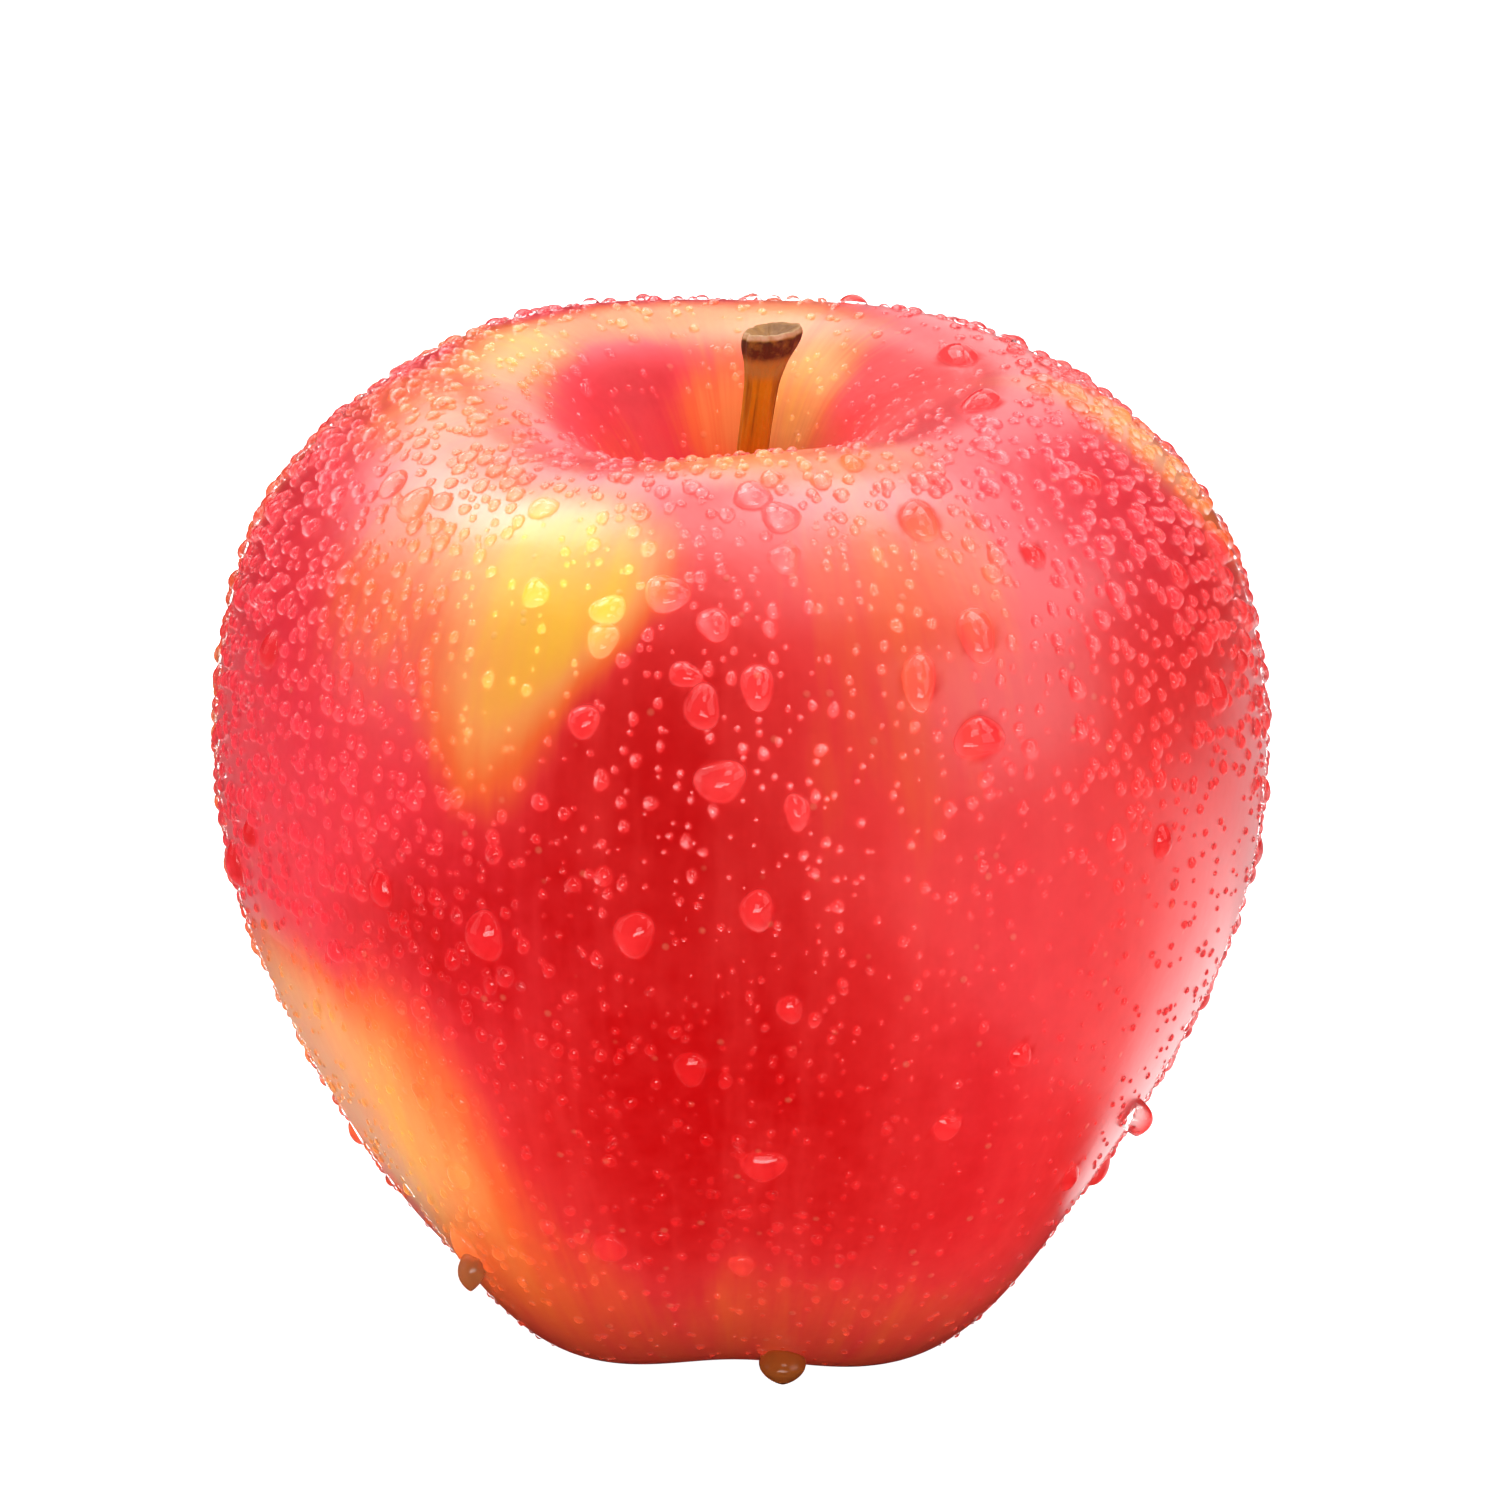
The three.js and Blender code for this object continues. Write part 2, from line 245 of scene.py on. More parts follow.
class Value:
    """A number socket of a node tree, whose operators add Math nodes."""

    def __init__(self, nodes: Nodes, socket: Any) -> None:
        """Keeps the socket and the nodes that it belongs to."""
        self.nodes = nodes
        self.socket = socket

    def math(self, operation: str, *others: Any, clamp: bool = False) -> Value:
        """This value and others through one Math node."""
        return self.nodes.math(operation, self, *others, clamp=clamp)

    def __add__(self, other: Any) -> Value:
        """This plus other."""
        return self.math("ADD", other)

    __radd__ = __add__

    def __mul__(self, other: Any) -> Value:
        """This times other."""
        return self.math("MULTIPLY", other)

    __rmul__ = __mul__

    def __sub__(self, other: Any) -> Value:
        """This less other."""
        return self.math("SUBTRACT", other)

    def __rsub__(self, other: Any) -> Value:
        """Other less this."""
        return self.nodes.math("SUBTRACT", other, self)

    def held(self) -> Value:
        """This value, kept from 0 to 1."""
        return self.math("ADD", 0.0, clamp=True)

    def swing(self, amount: float) -> Value:
        """Noise around 0.5, made to swing around 0 by an amount."""
        return (self - 0.5) * amount


class Nodes:
    """The node tree of a new material or of the surroundings."""

    def __init__(self, owner: Any) -> None:
        """Empties the tree of its owner, a new material or the new surroundings.

        Args:
            owner: A material or the surroundings, just made.
        """
        self.owner = owner
        self.owner.use_nodes = True
        self.tree = self.owner.node_tree
        self.tree.nodes.clear()

    def make(self, kind: str, settings: dict[str, Any] | None = None,
             inputs: dict[Any, Any] | None = None) -> bpy.types.Node:
        """Adds any node.

        Args:
            kind: The node's type.
            settings: Its properties; "stops" gives a colour ramp's (place, colour) pairs.
            inputs: What its sockets get, by name or number: a value, a Value or another node's socket.

        Returns:
            The node.
        """
        node = self.tree.nodes.new(kind)
        for key, setting in (settings or {}).items():
            if key == "stops":
                self._set_stops(node.color_ramp.elements, setting)
            else:
                setattr(node, key, setting)
        for key, given in (inputs or {}).items():
            socket = node.inputs[key]
            source = given.socket if isinstance(given, Value) else given
            if isinstance(source, bpy.types.NodeSocket):
                self.tree.links.new(source, socket)
            elif isinstance(source, tuple) and len(source) == 3 and socket.type == "RGBA":
                socket.default_value = (*source, 1.0)
            else:
                socket.default_value = source
        return node

    @staticmethod
    def _set_stops(elements: Any, stops: Sequence[tuple[float, Colour]]) -> None:
        """Gives a colour ramp its stops, in order.

        Args:
            elements: The ramp's own stops.
            stops: The (place, colour) pairs that they get.
        """
        while len(elements) < len(stops):
            elements.new(1.0)
        for element, (place, colour) in zip(elements, stops):
            element.position = place
            element.color = (*colour, 1.0)

    def math(self, operation: str, *values: Any, clamp: bool = False) -> Value:
        """Adds one Math node.

        Args:
            operation: What it does, as the node names it.
            values: What it works on, each a number, a Value or a socket.
            clamp: Whether the result is kept from 0 to 1.

        Returns:
            The result.
        """
        inputs = dict(enumerate(values))
        node = self.make("ShaderNodeMath", {"operation": operation, "use_clamp": clamp}, inputs)
        return Value(self, node.outputs[0])

    def attribute(self, name: str) -> bpy.types.Node:
        """Reads an attribute of the mesh."""
        return self.make("ShaderNodeAttribute", {"attribute_name": name})

    def field(self, name: str) -> Value:
        """The number that the mesh holds under a name."""
        return Value(self, self.attribute(name).outputs["Fac"])

    def noise(self, vector: Any, scale: float, detail: float, roughness: float) -> Value:
        """Soft noise around 0.5.

        Args:
            vector: Where it is taken.
            scale: Its waves a metre.
            detail: Its octaves.
            roughness: The strength of each octave over that of the one before.

        Returns:
            The noise.
        """
        node = self.make("ShaderNodeTexNoise", None, {
            "Vector": vector, "Scale": scale, "Detail": detail, "Roughness": roughness,
        })
        return Value(self, node.outputs["Fac"])

    def ramp(self, value: Any, stops: Sequence[tuple[float, Colour]]) -> Any:
        """The colour that a ramp gives a value."""
        settings = {"stops": stops}
        return self.make("ShaderNodeValToRGB", settings, {"Fac": value}).outputs["Color"]

    def blend(self, share: Any, first: Any, second: Any) -> Any:
        """Mixes two colours, 0 for the first and 1 for the second."""
        node = self.make("ShaderNodeMix", {"data_type": "RGBA"}, {0: share, 6: first, 7: second})
        return node.outputs[2]

    def position(self) -> Any:
        """The object's own coordinates, in metres."""
        return self.make("ShaderNodeTexCoord").outputs["Object"]

    def bump(self, height: Value, depth: float, under: Any = None) -> Any:
        """A normal tilted by a relief.

        Args:
            height: The relief, from 0 to 1.
            depth: What 1 stands for, in metres.
            under: The normal to tilt, or None for the surface's own.

        Returns:
            The normal's socket.
        """
        inputs = {"Height": height, "Distance": depth, "Strength": 1.0}
        if under is not None:
            inputs["Normal"] = under
        return self.make("ShaderNodeBump", None, inputs).outputs["Normal"]

    def shader(self, kind: str, inputs: dict[Any, Any] | None = None) -> Any:
        """The output of one of the shaders, named by the end of its type."""
        return self.make(f"ShaderNode{kind}", None, inputs).outputs[0]

    def mix(self, share: Any, first: Any, second: Any) -> Any:
        """Mixes two shaders, 0 for the first and 1 for the second."""
        return self.shader("MixShader", {0: share, 1: first, 2: second})

    def bounced(self) -> Value:
        """1 on a path that has bounced off a matt or a glossy surface, and 0 before that."""
        path = self.make("ShaderNodeLightPath").outputs
        return self.math("ADD", path["Diffuse Depth"], path["Glossy Depth"], clamp=True)

    def finish(self, surface: Any, output: str = "ShaderNodeOutputMaterial") -> Any:
        """Ends the tree in its output and gives its owner."""
        self.make(output, None, {"Surface": surface})
        return self.owner


# ------------------------------------------------------------------ form of the fruit


@dataclass(frozen=True)
class FruitForm:
    """The fruit's shape, in millimetres: a smooth section turned about Z, then ribbed and made oval."""

    section: tuple[Pair, ...] = (
        (0, 8), (3, 8), (6.5, 4), (10, 0.7), (18, -1.7), (27, 6.5), (37, 26.5), (38, 41.5),
        (37, 51.5), (34, 61), (23, 70.1), (16.5, 69), (10, 65.8), (5.5, 56.5), (0, 56.5),
    )
    ribs: int = 5
    rib_azimuth: float = 90.0
    valley_pinch: float = 0.1
    valley_lift: float = 0.7
    crown_swell: float = 0.4
    crest_rise: float = 0.95
    crest_rise_azimuth: float = 95.0
    crest_dip: float = 1.3
    crest_dip_azimuth: float = 234.0
    crest_dip_sharpness: float = 4.0
    crest_dip_zones: tuple[Pair, Pair] = ((7, 13), (20, 30))
    cavity_squeeze: float = 3.0
    cavity_squeeze_azimuth: float = 0.0
    cavity_squeeze_zones: tuple[Pair, Pair] = ((3, 9), (11, 24))
    oval: float = 0.02
    oval_azimuth: float = 144.0
    base_zone: Pair = (4, 46)
    lift_zone: Pair = (0, 26)
    crown_zone: Pair = (42, 68)
    basin_zone: Pair = (2, 12)
    cavity_zone: Pair = (4, 18)
    heart_height: float = 35.0
    table_start: float = 0.05
    table_steps: int = 1200
    step_round: float = 0.5
    step_up: float = 0.002

    def profile(self, places: Array) -> tuple[Array, Array]:
        """Radius and height of the section, a spline through its control points.

        Args:
            places: From 0, the basin's middle, to 1, the cavity's.

        Returns:
            Two arrays of places' shape, in millimetres.
        """
        shape = np.shape(places)
        pairs = spline(np.array(self.section, float), np.ravel(places))
        return pairs[:, 0].reshape(shape), pairs[:, 1].reshape(shape)

    def skin(self, azimuth: Array, places: Array) -> Array:
        """Points of the skin.

        A valley between two ribs is (1 - cos(5 (azimuth - rib))) / 2. It pinches the radius near the base,
        lifts the underside and swells the crown. The crest is higher on one side by a cosine and has a dip
        that falls off by a power of one. The cavity's wall stands in on one side. The plan is oval by a
        cosine of twice the azimuth, and what would go below zero is flat.

        Args:
            azimuth: In degrees, from +X towards +Y.
            places: Along the section, from 0 to 1, of a shape that fits azimuth's.

        Returns:
            Points in metres, with the coordinates along a new last axis.
        """
        radius, height = self.profile(places)
        turn = np.radians(azimuth)
        valley = (1 - cosine_from(self.rib_azimuth, turn, self.ribs)) / 2
        low = 1 - ease(*self.base_zone, height)
        crown = ease(*self.crown_zone, height)
        oval = self.oval * cosine_from(self.oval_azimuth, turn, 2)
        inset = (1 + cosine_from(self.cavity_squeeze_azimuth, turn)) / 2
        squeeze = self.cavity_squeeze * inset * crown * between(radius, *self.cavity_squeeze_zones)
        grown = radius * (1 - self.valley_pinch * valley * low + oval) - squeeze
        footing = (1 - ease(*self.lift_zone, height)) * ease(*self.basin_zone, radius)
        swell = self.crown_swell * valley * crown * ease(*self.cavity_zone, radius)
        rise = self.crest_rise * cosine_from(self.crest_rise_azimuth, turn) * crown
        facing = np.maximum(0, cosine_from(self.crest_dip_azimuth, turn)) ** self.crest_dip_sharpness
        dip = self.crest_dip * facing * crown * between(radius, *self.crest_dip_zones)
        tall = np.maximum(0, height + self.valley_lift * valley * footing + swell + rise - dip)
        return np.stack([grown * np.cos(turn), grown * np.sin(turn), tall], -1) * MM

    def latitude_at(self, places: Array) -> Array:
        """Latitudes in degrees, seen from the heart, of places along the section."""
        radius, height = self.profile(places)
        return np.degrees(np.arctan2(height - self.heart_height, radius))

    def place_at(self, latitude: Array) -> Array:
        """Places along the section whose latitude, seen from the heart, is the one given in degrees."""
        places = np.linspace(self.table_start, 1, self.table_steps)
        return np.interp(latitude, self.latitude_at(places), places)

    def point_at(self, azimuth: float, latitude: float) -> Array:
        """The skin's point at one azimuth and latitude."""
        return self.skin(np.array([azimuth]), self.place_at(np.array([latitude])))[0]

    def axes_at(self, azimuth: Array, places: Array) -> tuple[Array, Array, Array, Array]:
        """Position, direction along the parallel, up the slope, and out of the skin, at each place.

        Args:
            azimuth: In degrees.
            places: Along the section, from 0 to 1.

        Returns:
            The positions in metres, and three arrays of unit vectors.
        """
        before, after = (self.skin(azimuth + step, places) for step in (-self.step_round, self.step_round))
        along = unit(after - before)
        above = np.minimum(places + self.step_up, 1)
        slope = unit(self.skin(azimuth, above) - self.skin(azimuth, places - self.step_up))
        outward = unit(np.cross(along, slope))
        return self.skin(azimuth, places), along, np.cross(outward, along), outward


FORM = FruitForm()


# ------------------------------------------------------------------ skin


@dataclass(frozen=True)
class Mark:
    """A patch of the skin: an ellipse in azimuth and latitude, turned, with a soft edge."""

    azimuth: float
    latitude: float
    half_width: float
    half_height: float
    tilt: float = 0.0
    softness: float = 0.5
    strength: float = 1.0

    def cover(self, azimuth: Array, latitude: Array) -> Array:
        """How much the mark covers each point.

        The turned offsets over the half sizes give a distance d, and the cover falls smoothly from its
        strength at d = 1 - softness to 0 at d = 1 + softness.

        Args:
            azimuth: In degrees.
            latitude: In degrees.

        Returns:
            From 0 to strength, of the arrays' shape.
        """
        aside = (azimuth - self.azimuth + 180) % 360 - 180
        across = aside * np.cos(np.radians(self.latitude))
        up = latitude - self.latitude
        turn = np.radians(self.tilt)
        wide = across * np.cos(turn) + up * np.sin(turn)
        tall = up * np.cos(turn) - across * np.sin(turn)
        distance = np.hypot(wide / self.half_width, tall / self.half_height)
        return self.strength * (1 - ease(1 - self.softness, 1 + self.softness, distance))


@dataclass(frozen=True)
class SkinFinish:
    """Waxy apple skin: red over a yellow ground, in streaks that run from the stem to the calyx."""

    ground: Colour = (0.98, 0.54, 0.02)
    gold: Colour = (0.98, 0.32, 0.075)
    flame: Colour = (0.92, 0.13, 0.028)
    red: Colour = (0.86, 0.040, 0.038)
    scarlet: Colour = (0.84, 0.017, 0.020)
    crimson: Colour = (0.83, 0.028, 0.052)
    # Deep red skin colour, also the colour of painted shade.
    deep_red_and_shade: Colour = (0.58, 0.002, 0.003)
    lenticel: Colour = (0.93, 0.50, 0.26)
    # Russeting, also the colour of painted shade on the cavity's floor.
    russet_and_shade: Colour = (0.50, 0.19, 0.02)
    roughness: float = 0.36
    grain_roughness: float = 0.10
    dull_roughness: float = 0.45
    dull_coat: float = 0.85
    streaks: float = 0.26
    clouds: float = 0.12
    full_gain: float = 4.0
    full_start: float = 2.4
    deep_streaks: float = 0.12
    deep_mottle: float = 0.6
    deep_clouds: float = 0.4
    relief_depth: float = 0.00012
    lenticel_spacing: float = 2.6
    lenticel_edge: Pair = (0.05, 0.13)
    lenticel_cover: float = 0.12
    lenticel_depth: float = 0.00003
    wide_streak_pattern: Pattern = (230, 3, 0.55)
    fine_streak_pattern: Pattern = (900, 2, 0.6)
    cloud_pattern: Pattern = (60, 2, 0.5)
    mottle_pattern: Pattern = (620, 3, 0.6)
    grain_pattern: Pattern = (900, 2, 0.6)
    relief_pattern: Pattern = (260, 3, 0.5)

    def material(self) -> bpy.types.Material:
        """The skin's material.

        The share of red, from 0 for bare ground to 1 for full red, is shifted by wide and fine streak noise
        on the attribute strand and by clouds, and a ramp turns it into colour; some paler patches on the
        crest are painted highlights. Where it is nearly full, the attribute rosy adds crimson, and a darker
        red with a mottle comes in that is partly painted shade, on the front middle, in the cavity's wall
        and under the larger drops. Pale lenticels come from the nearest points of a Voronoi pattern, and
        the cavity's floor gets russeting with painted shade. The attribute dull takes the gloss away.

        Returns:
            The material.
        """
        nodes = Nodes(bpy.data.materials.new("apple_skin"))
        strand = nodes.attribute("strand").outputs["Vector"]
        place = nodes.position()
        wide = nodes.noise(strand, *self.wide_streak_pattern)
        fine = nodes.noise(strand, *self.fine_streak_pattern)
        cloud = nodes.noise(place, *self.cloud_pattern)
        shift = wide.swing(self.streaks) + fine.swing(self.streaks / 2)
        # Some paler patches on the crest are painted highlights, as cream ground.
        ripe = (nodes.field("blush_and_highlights") + shift + cloud.swing(self.clouds)).held()
        stops = [
            (0.0, self.ground), (0.3, self.gold), (0.55, self.flame), (0.76, self.red), (1.0, self.scarlet),
        ]
        full = (ripe * self.full_gain - self.full_start).held()
        colour = nodes.blend((nodes.field("rosy") * full).held(), nodes.ramp(ripe, stops), self.crimson)
        mottle = nodes.noise(place, *self.mottle_pattern).swing(self.deep_mottle)
        # A darker red with a mottle, partly painted shade: on the front middle, in the cavity's wall and
        # under the larger drops.
        deep_and_shade_share = nodes.field("deepness_and_shade") + wide.swing(self.deep_streaks) + mottle
        deep_and_shade_share = (deep_and_shade_share + cloud.swing(self.deep_clouds)).held()
        colour = nodes.blend((deep_and_shade_share * full).held(), colour, self.deep_red_and_shade)
        dot = self._dot(nodes, place)
        colour = nodes.blend(dot * self.lenticel_cover, colour, self.lenticel)
        # Russeting and painted shade on the cavity's floor.
        colour = nodes.blend(nodes.field("russet_and_shade") * (0.5 + fine), colour, self.russet_and_shade)
        grain = nodes.noise(place, *self.grain_pattern).swing(self.grain_roughness)
        relief = nodes.bump(nodes.noise(place, *self.relief_pattern), self.relief_depth)
        return nodes.finish(nodes.shader("BsdfPrincipled", {
            "Base Color": colour, "Normal": nodes.bump(dot, self.lenticel_depth, relief), "IOR": 1.45,
            "Roughness": self.roughness + grain + nodes.field("dull") * self.dull_roughness,
            "Subsurface Weight": 0.06, "Subsurface Radius": (1.0, 0.35, 0.12), "Subsurface Scale": 0.0018,
            "Coat Weight": 1 - nodes.field("dull") * self.dull_coat,
            "Coat Roughness": 0.28, "Coat IOR": 1.4,
        }))

    def _dot(self, nodes: Nodes, place: Any) -> Value:
        """1 in a small round spot about each lenticel's point, and 0 outside it.

        Args:
            nodes: The material's nodes.
            place: Where the spots are taken.

        Returns:
            The spots.
        """
        cells = nodes.make("ShaderNodeTexVoronoi", {"feature": "F1"}, {
            "Vector": place, "Scale": 1 / (self.lenticel_spacing * MM), "Randomness": 1.0,
        })
        low, high = self.lenticel_edge
        node = nodes.make("ShaderNodeMapRange", {"interpolation_type": "SMOOTHSTEP"}, {
            "Value": cells.outputs["Distance"], "From Min": low, "From Max": high,
            "To Min": 1.0, "To Max": 0.0,
        })
        return Value(nodes, node.outputs[0])


@dataclass
class Skin:
    """The skin: one closed surface, with its colouring held in attributes that the finish reads."""

    form: FruitForm = FORM
    rows: int = 236
    columns: int = 400
    first_place: float = 0.004
    last_place: float = 0.996
    finish: SkinFinish = SkinFinish()
    ground_blush: float = 0.84
    # Yellow and cream ground; three marks on the crest are painted highlights.
    pale_and_highlights: tuple[Mark, ...] = (
        Mark(246, 44, 10, 8, 0, 0.65, 0.74),
        Mark(242, 32, 6, 12, -8, 0.75, 0.62),
        Mark(251, 37, 3.6, 9, -30, 0.8, 0.68),
        Mark(228, 43, 13, 13, 0, 0.9, 0.42),
        Mark(204, -25, 25, 20, 10, 0.35, 0.62),
        Mark(229, -20, 11, 18, 8, 0.5, 0.30),
        Mark(230, -38, 12, 12, 0, 0.8, 0.27),
        Mark(355, 46, 6, 12, 0, 0.8, 0.58),
        Mark(292, 44, 9, 9, 0, 0.9, 0.30),
        Mark(288, 24, 10, 10, 0, 0.9, 0.14),
        # Painted highlights on the front of the crest.
        Mark(282, 58, 14, 4, 0, 0.8, 0.36),
        Mark(268, 61, 7, 3, 0, 0.8, 0.4),
        Mark(108, 63, 24, 3.2, 0, 0.7, 0.54),
        Mark(160, 61.5, 9, 3.5, 0, 0.8, 0.56),
        # Painted sheen on the left of the crest.
        Mark(194, 57, 12, 8, 0, 0.8, 0.42),
        Mark(170, 65, 8, 3, 0, 0.9, 0.3),
        Mark(60, 69.5, 7, 4.5, 0, 0.6, 0.62),
        Mark(97, 70.8, 6, 4, 0, 0.9, 0.42),
        Mark(135, 72, 30, 2.0, 0, 0.7, 0.22),
        Mark(136, 70, 12, 5, 0, 0.8, -0.19),
        Mark(84, 24, 11, 34, 10, 0.8, 0.62),
        Mark(104, 8, 9, 30, 4, 0.9, 0.58),
        Mark(27, -24, 8, 22, -10, 0.8, 0.5),
        Mark(44, -12, 6, 20, -4, 0.9, 0.4),
        Mark(150, 36, 7, 22, 8, 0.8, 0.5),
        Mark(174, 6, 9, 34, 0, 0.8, 0.46),
    )
    rosy: tuple[Mark, ...] = (
        Mark(205, 25, 26, 40, 0, 0.7, 0.9),
        Mark(238, 4, 14, 14, 0, 0.8, 0.6),
        Mark(328, 48, 16, 14, 0, 0.7, 0.9),
        Mark(300, -4, 10, 30, 0, 0.9, 0.3),
        Mark(140, 65, 40, 12, 0, 0.8, 0.8),
        Mark(130, 0, 30, 34, 0, 0.8, 0.6),
    )
    # Darker red patches; on the front middle they also paint shade where the skin faces away from the
    # lights.
    deep_and_shade: tuple[Mark, ...] = (
        Mark(262, 4, 18, 32, 8, 0.6, 0.85),
        Mark(270, -22, 36, 22, 0, 0.7, 0.7),
        Mark(243, 4, 9, 14, 0, 0.8, 0.6),
        Mark(231, 2, 9, 9, 0, 0.7, 0.8),
        Mark(330, 32, 12, 16, 0, 0.8, 0.25),
        Mark(131, 69.2, 8, 1.6, 0, 0.8, 0.45),
        # Painted shade in the cavity's wall.
        Mark(30, 65.5, 10, 3, 0, 0.8, 0.5),
        Mark(60, -10, 30, 30, 0, 0.8, 0.5),
        Mark(150, -5, 30, 26, 0, 0.8, 0.5),
    )
    # Painted shade on the cavity's floor, drawn in the russeting colour.
    cavity_shade: tuple[Mark, ...] = (Mark(50, 72.6, 10, 2, 0, 0.9, 0.5),)
    dull: tuple[Mark, ...] = (Mark(22, 66.5, 17, 3.5, 0, 0.5, 0.9), Mark(125, 70.5, 14, 4, 0, 0.6, 0.9))
    russet_zone: Pair = (0.955, 0.99)
    russet_share: float = 0.75
    gloss_end: Pair = (0.84, 0.89)
    # Painted shade under the larger drops, as a darker red.
    soaked_shade: float = 0.85
    soak_edge: Pair = (0.8, 1.1)
    base_zone: Pair = (32, 48)
    base_pale: float = 0.17
    streak_radius: float = 38.0
    streak_stretch: float = 7.0

    def build(self, drops: Array) -> bpy.types.Object:
        """Makes the skin's mesh, fills its attributes and dresses it.

        Args:
            drops: Drops that soak the skin, each as azimuth, latitude, width and length. Below them it
                has no gloss and a darker red, which is painted shade.

        Returns:
            The object.
        """
        places = np.linspace(self.first_place, self.last_place, self.rows)[:, None]
        azimuth = np.linspace(0, 360, self.columns, endpoint=False)[None, :]
        rings = self.form.skin(azimuth, places)
        poles = self.form.skin(np.zeros(2), np.array([0.0, 1.0]))
        item = build_mesh("skin", *loft(rings[None], poles[:1], poles[1:]))
        latitude = self.form.latitude_at(places)
        base = self.base_pale * ease(*self.base_zone, -latitude)
        russet_and_shade = self.russet_share * ease(*self.russet_zone, places)
        under = self._under(drops, rings)
        glossy = (1 - ease(*self.gloss_end, places)) * self._bare(self.dull, azimuth, latitude)
        # Darker red, with painted shade on the front middle, in the cavity's wall and under the larger
        # drops.
        deep_and_shade = np.maximum(1 - self._bare(self.deep_and_shade, azimuth, latitude), self.soaked_shade * under)
        # Paler ground, with painted highlights on the crest.
        store(item, "blush_and_highlights", self.ground_blush * self._bare(self.pale_and_highlights, azimuth, latitude) * (1 - base))
        store(item, "rosy", 1 - self._bare(self.rosy, azimuth, latitude))
        store(item, "deepness_and_shade", deep_and_shade)
        # Russeting on the cavity's floor, and painted shade there.
        store(item, "russet_and_shade", 1 - self._bare(self.cavity_shade, azimuth, latitude) * (1 - russet_and_shade))
        store(item, "dull", 1 - glossy * (1 - under))
        store(item, "strand", self._strand(azimuth, places))
        item.data.materials.append(self.finish.material())
        return item

    def _under(self, drops: Array, points: Array) -> Array:
        """How much of each point lies below the drops, by its distance from their middles.

        Args:
            drops: The drops, each as azimuth, latitude, width and length.
            points: Points of the skin, in metres.

        Returns:
            From 0 to 1, for each point.
        """
        middles = self.form.skin(drops[:, 0], self.form.place_at(drops[:, 1]))
        under = np.zeros(points.shape[:-1])
        for middle, size in zip(middles, drops[:, 2:4].mean(1) / 2 * MM):
            distance = np.linalg.norm(points - middle, axis=-1) / size
            under = np.maximum(under, 1 - ease(*self.soak_edge, distance))
        return under

    @staticmethod
    def _bare(marks: Sequence[Mark], azimuth: Array, latitude: Array) -> Array:
        """How much of each point several marks leave bare together.

        Args:
            marks: The marks.
            azimuth: In degrees.
            latitude: In degrees.

        Returns:
            From 0 to 1, for each point.
        """
        left = np.ones(np.broadcast_shapes(azimuth.shape, latitude.shape))
        for mark in marks:
            left = left * (1 - mark.cover(azimuth, latitude))
        return left

    def _strand(self, azimuth: Array, places: Array) -> Array:
        """Points of a cylinder around the fruit, as high as the length along the section, shortened.

        Args:
            azimuth: In degrees.
            places: Along the section, from 0 to 1.

        Returns:
            Points in metres.
        """
        turn = np.radians(azimuth)
        radius, height = self.form.profile(places)
        steps = np.hypot(np.diff(radius, axis=0), np.diff(height, axis=0))
        length = np.concatenate([[[0.0]], np.cumsum(steps, axis=0)]) / self.streak_stretch
        ring = [self.streak_radius * np.cos(turn), self.streak_radius * np.sin(turn), 0 * turn]
        return (np.stack(ring, -1) + length[..., None] * np.array([0, 0, 1.0])) * MM


# ------------------------------------------------------------------ water


@dataclass(frozen=True)
class WaterFinish:
    """Clear water. Most shadow rays pass, so that the skin below a drop is lit."""

    name: str = "clear_water"
    colour: Colour = WHITE
    clearness: float = 1.0
    shade: Colour = (0.8, 0.8, 0.8)
    roughness: float = 0.015
    index: float = 1.333

    def material(self) -> bpy.types.Material:
        """Makes the water's material.

        Returns:
            The material.
        """
        nodes = Nodes(bpy.data.materials.new(self.name))
        water = nodes.shader("BsdfPrincipled", {
            "Base Color": self.colour, "Roughness": self.roughness, "IOR": self.index,
            "Transmission Weight": self.clearness,
        })
        clear = nodes.shader("BsdfTransparent", {"Color": self.shade})
        shadow = nodes.make("ShaderNodeLightPath").outputs["Is Shadow Ray"]
        return nodes.finish(nodes.mix(shadow, water, clear))


@dataclass(frozen=True)
class DropShape:
    """How one kind of drop is divided and bulges. Height and sag are shares of its width and length."""

    sides: int
    rings: int
    contact_angle: float
    height: float
    sag: float
    wobble: float
    root_width: float = 0.86
    sunk: float = 0.12

    def bead(self) -> tuple[Array, Array]:
        """Share of the half width, and share of the height, of each ring of a drop from its root up.

        The cap is a part of a sphere: at an angle a from its top the share of the half width is
        sin a / sin c and of the height (cos a - cos c) / (1 - cos c), with c the contact angle.

        Returns:
            Two arrays, with the sunk root ring first.
        """
        contact = np.radians(self.contact_angle)
        angle = contact * (1 - np.arange(self.rings) / self.rings)
        wide = np.sin(angle) / np.sin(contact)
        tall = (np.cos(angle) - np.cos(contact)) / (1 - np.cos(contact))
        return np.concatenate([[self.root_width], wide]), np.concatenate([[-1.0], tall])


class Zone(Enum):
    """Kinds of wet skin, as (share of the fine drops kept, size of a drop over the usual one)."""

    SOAKED = (0.97, 1.0)
    BEADED = (0.8, 0.8)
    MISTED = (0.52, 0.74)
    WIPED = (0.12, 0.5)


